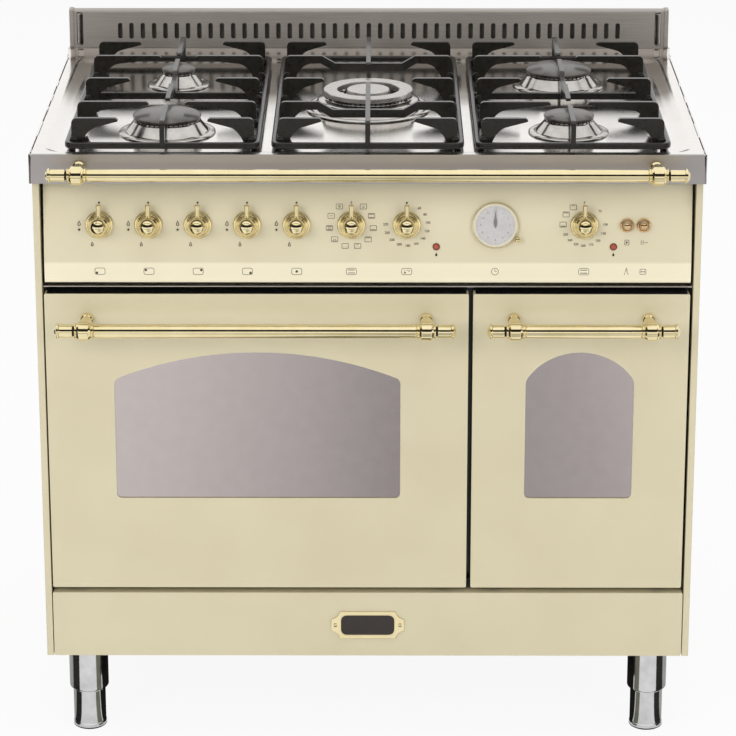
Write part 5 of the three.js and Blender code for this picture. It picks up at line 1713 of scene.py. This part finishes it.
# ---- Base and feet ---------------------------------------------------------------------------------
# A folded steel pan, four chromed sleeves fixed under it, and in each a foot that screws in and out.
low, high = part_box("base_frame")
outline = rectangle(low.x, high.x, at(34), at(596), 0.003, 3)
hollow = rectangle(low.x + 0.002, high.x - 0.002, at(36), at(594), 0.002, 3)
sides = moved(plate([outline, hollow], 0.030), 0, 0, 0.135)
holes = [rectangle(x - 0.05, x + 0.05, at(y) - 0.006, at(y) + 0.006, 0.0058, 5) for x in (-0.2, 0, 0.2)
         for y in (110, 300, 490)]
pan = fused(sides, moved(plate([outline, *holes], 0.002), 0, 0, 0.135))
pan = piece("base_pan", pan, galvanised, "chassis", "back_sheet", "base_frame")
ease_edges(pan, 0.0006)

chrome, nodes, links, shader = blank("polished_chrome")
cloud = grain(nodes, links, 0.02, (1, 1, 1), 3)
fine = grain(nodes, links, 0.0009, (1, 1, 0.3), 2, 4.0)
shader.inputs["Metallic"].default_value = 1.0
links.new(shades(nodes, links, cloud, (204, 204, 206), (226, 225, 226)), shader.inputs["Base Color"])
links.new(between(nodes, links, cloud, 0.05, 0.12), shader.inputs["Roughness"])
relief(nodes, links, shader, (fine, 0.000004))

sleeve_outline = eased([(0, 0.112), (0.0086, 0.112), (0.0086, 0.0603), (0.0262, 0.0603), (0.0275, 0.0622),
                        (0.0275, 0.1349), (0, 0.1349)], 0.0012, 4)
foot_outline = eased([(0, 0.0022), (0.0231, 0.0022), (0.0233, 0.0026), (0.0233, 0.0072), (0.0227, 0.009),
                      (0.0227, 0.058), (0.0212, 0.0598), (0.0081, 0.0598), (0.0079, 0.099), (0.0068, 0.1),
                      (0, 0.1)], 0.0009, 4)
# Painted shadow: a black ring under each foot stands for the dark line where the foot meets the floor.
contact_shadow_outline = eased([(0, 0), (0.0212, 0), (0.0235, 0.0018), (0.0235, 0.003), (0.0228, 0.0034), (0, 0.0034)],
                    0.0009, 4)
contact_shadow_black = plain_finish("painted_contact_shadow", 0.002, (16, 16, 16), (28, 27, 26), 0.003, 0.6, 0.8)
for name in ("front_left", "rear_left", "front_right", "rear_right"):
    centre = centre_of("foot_" + name)
    piece("sleeve_" + name, moved(turned(sleeve_outline, 80), centre.x, centre.y),
          chrome, "chassis", "chrome_legs")
    piece("foot_pad_" + name, moved(turned(contact_shadow_outline, 64), centre.x, centre.y), contact_shadow_black, "foot_" + name,
          "black_enamel")
    piece("screw_foot_" + name, moved(turned(foot_outline, 80), centre.x, centre.y), chrome, "foot_" + name,
          "chrome_legs", "foot_" + name)

# ---- Gas pipe and taps -----------------------------------------------------------------------------
# Behind the panel a drawn pipe feeds the five hob taps, each a cast body with a round flange and a
# six-sided nut towards the panel.
low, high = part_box("gas_manifold")
pipe_y, pipe_z = (low.y + high.y) / 2 + 0.0005, (low.z + high.z) / 2
pipe = tube([(low.x + 0.0002, pipe_y, pipe_z), (high.x - 0.0002, pipe_y, pipe_z)], 0.0089)
taps = []
for name in KNOB_NAMES[:5]:
    x = centre_of("knob_" + name).x
    tap = merged(moved(plate([rectangle(-0.0115, 0.0115, -0.0145, 0.0145, 0.004)], 0.022), 0, 0, -0.0575),
                 moved(turned(eased([(0, 0), (0.0105, 0), (0.0105, 0.006), (0.0085, 0.008), (0, 0.008)],
                                    0.001, 3), 28), 0, 0, -0.036),
                 moved(turned(eased([(0, 0), (0.0062, 0), (0.0062, 0.004), (0, 0.004)], 0.0008, 3), 6),
                       0, 0, -0.0278))
    taps.append(on_face(tap, x, DIAL_Z))
piece("gas_pipe", merged(pipe, *taps), burner_metal, "chassis", "burner_metal", "gas_manifold")

# ---- Clock glass -----------------------------------------------------------------------------------
# A thin clear pane snapped into the rim, over the hands.
clock_glass, nodes, links, shader = blank("clock_glass")
haze = grain(nodes, links, 0.004, (1, 1, 1), 1)
links.new(shades(nodes, links, haze, (236, 238, 238), (250, 250, 250)), shader.inputs["Base Color"])
links.new(between(nodes, links, haze, 0.03, 0.07), shader.inputs["Roughness"])
links.new(between(nodes, links, haze, 0.1, 0.14), shader.inputs["Alpha"])
pane = turned(eased([(0, 0.0053), (RIM - 0.0018, 0.0053), (RIM - 0.0018, 0.0056), (0, 0.0062)], 0.0002, 2),
              96)
piece("clock_pane", on_face(pane, case.x, DIAL_Z), clock_glass, "chassis", "clock_dial")
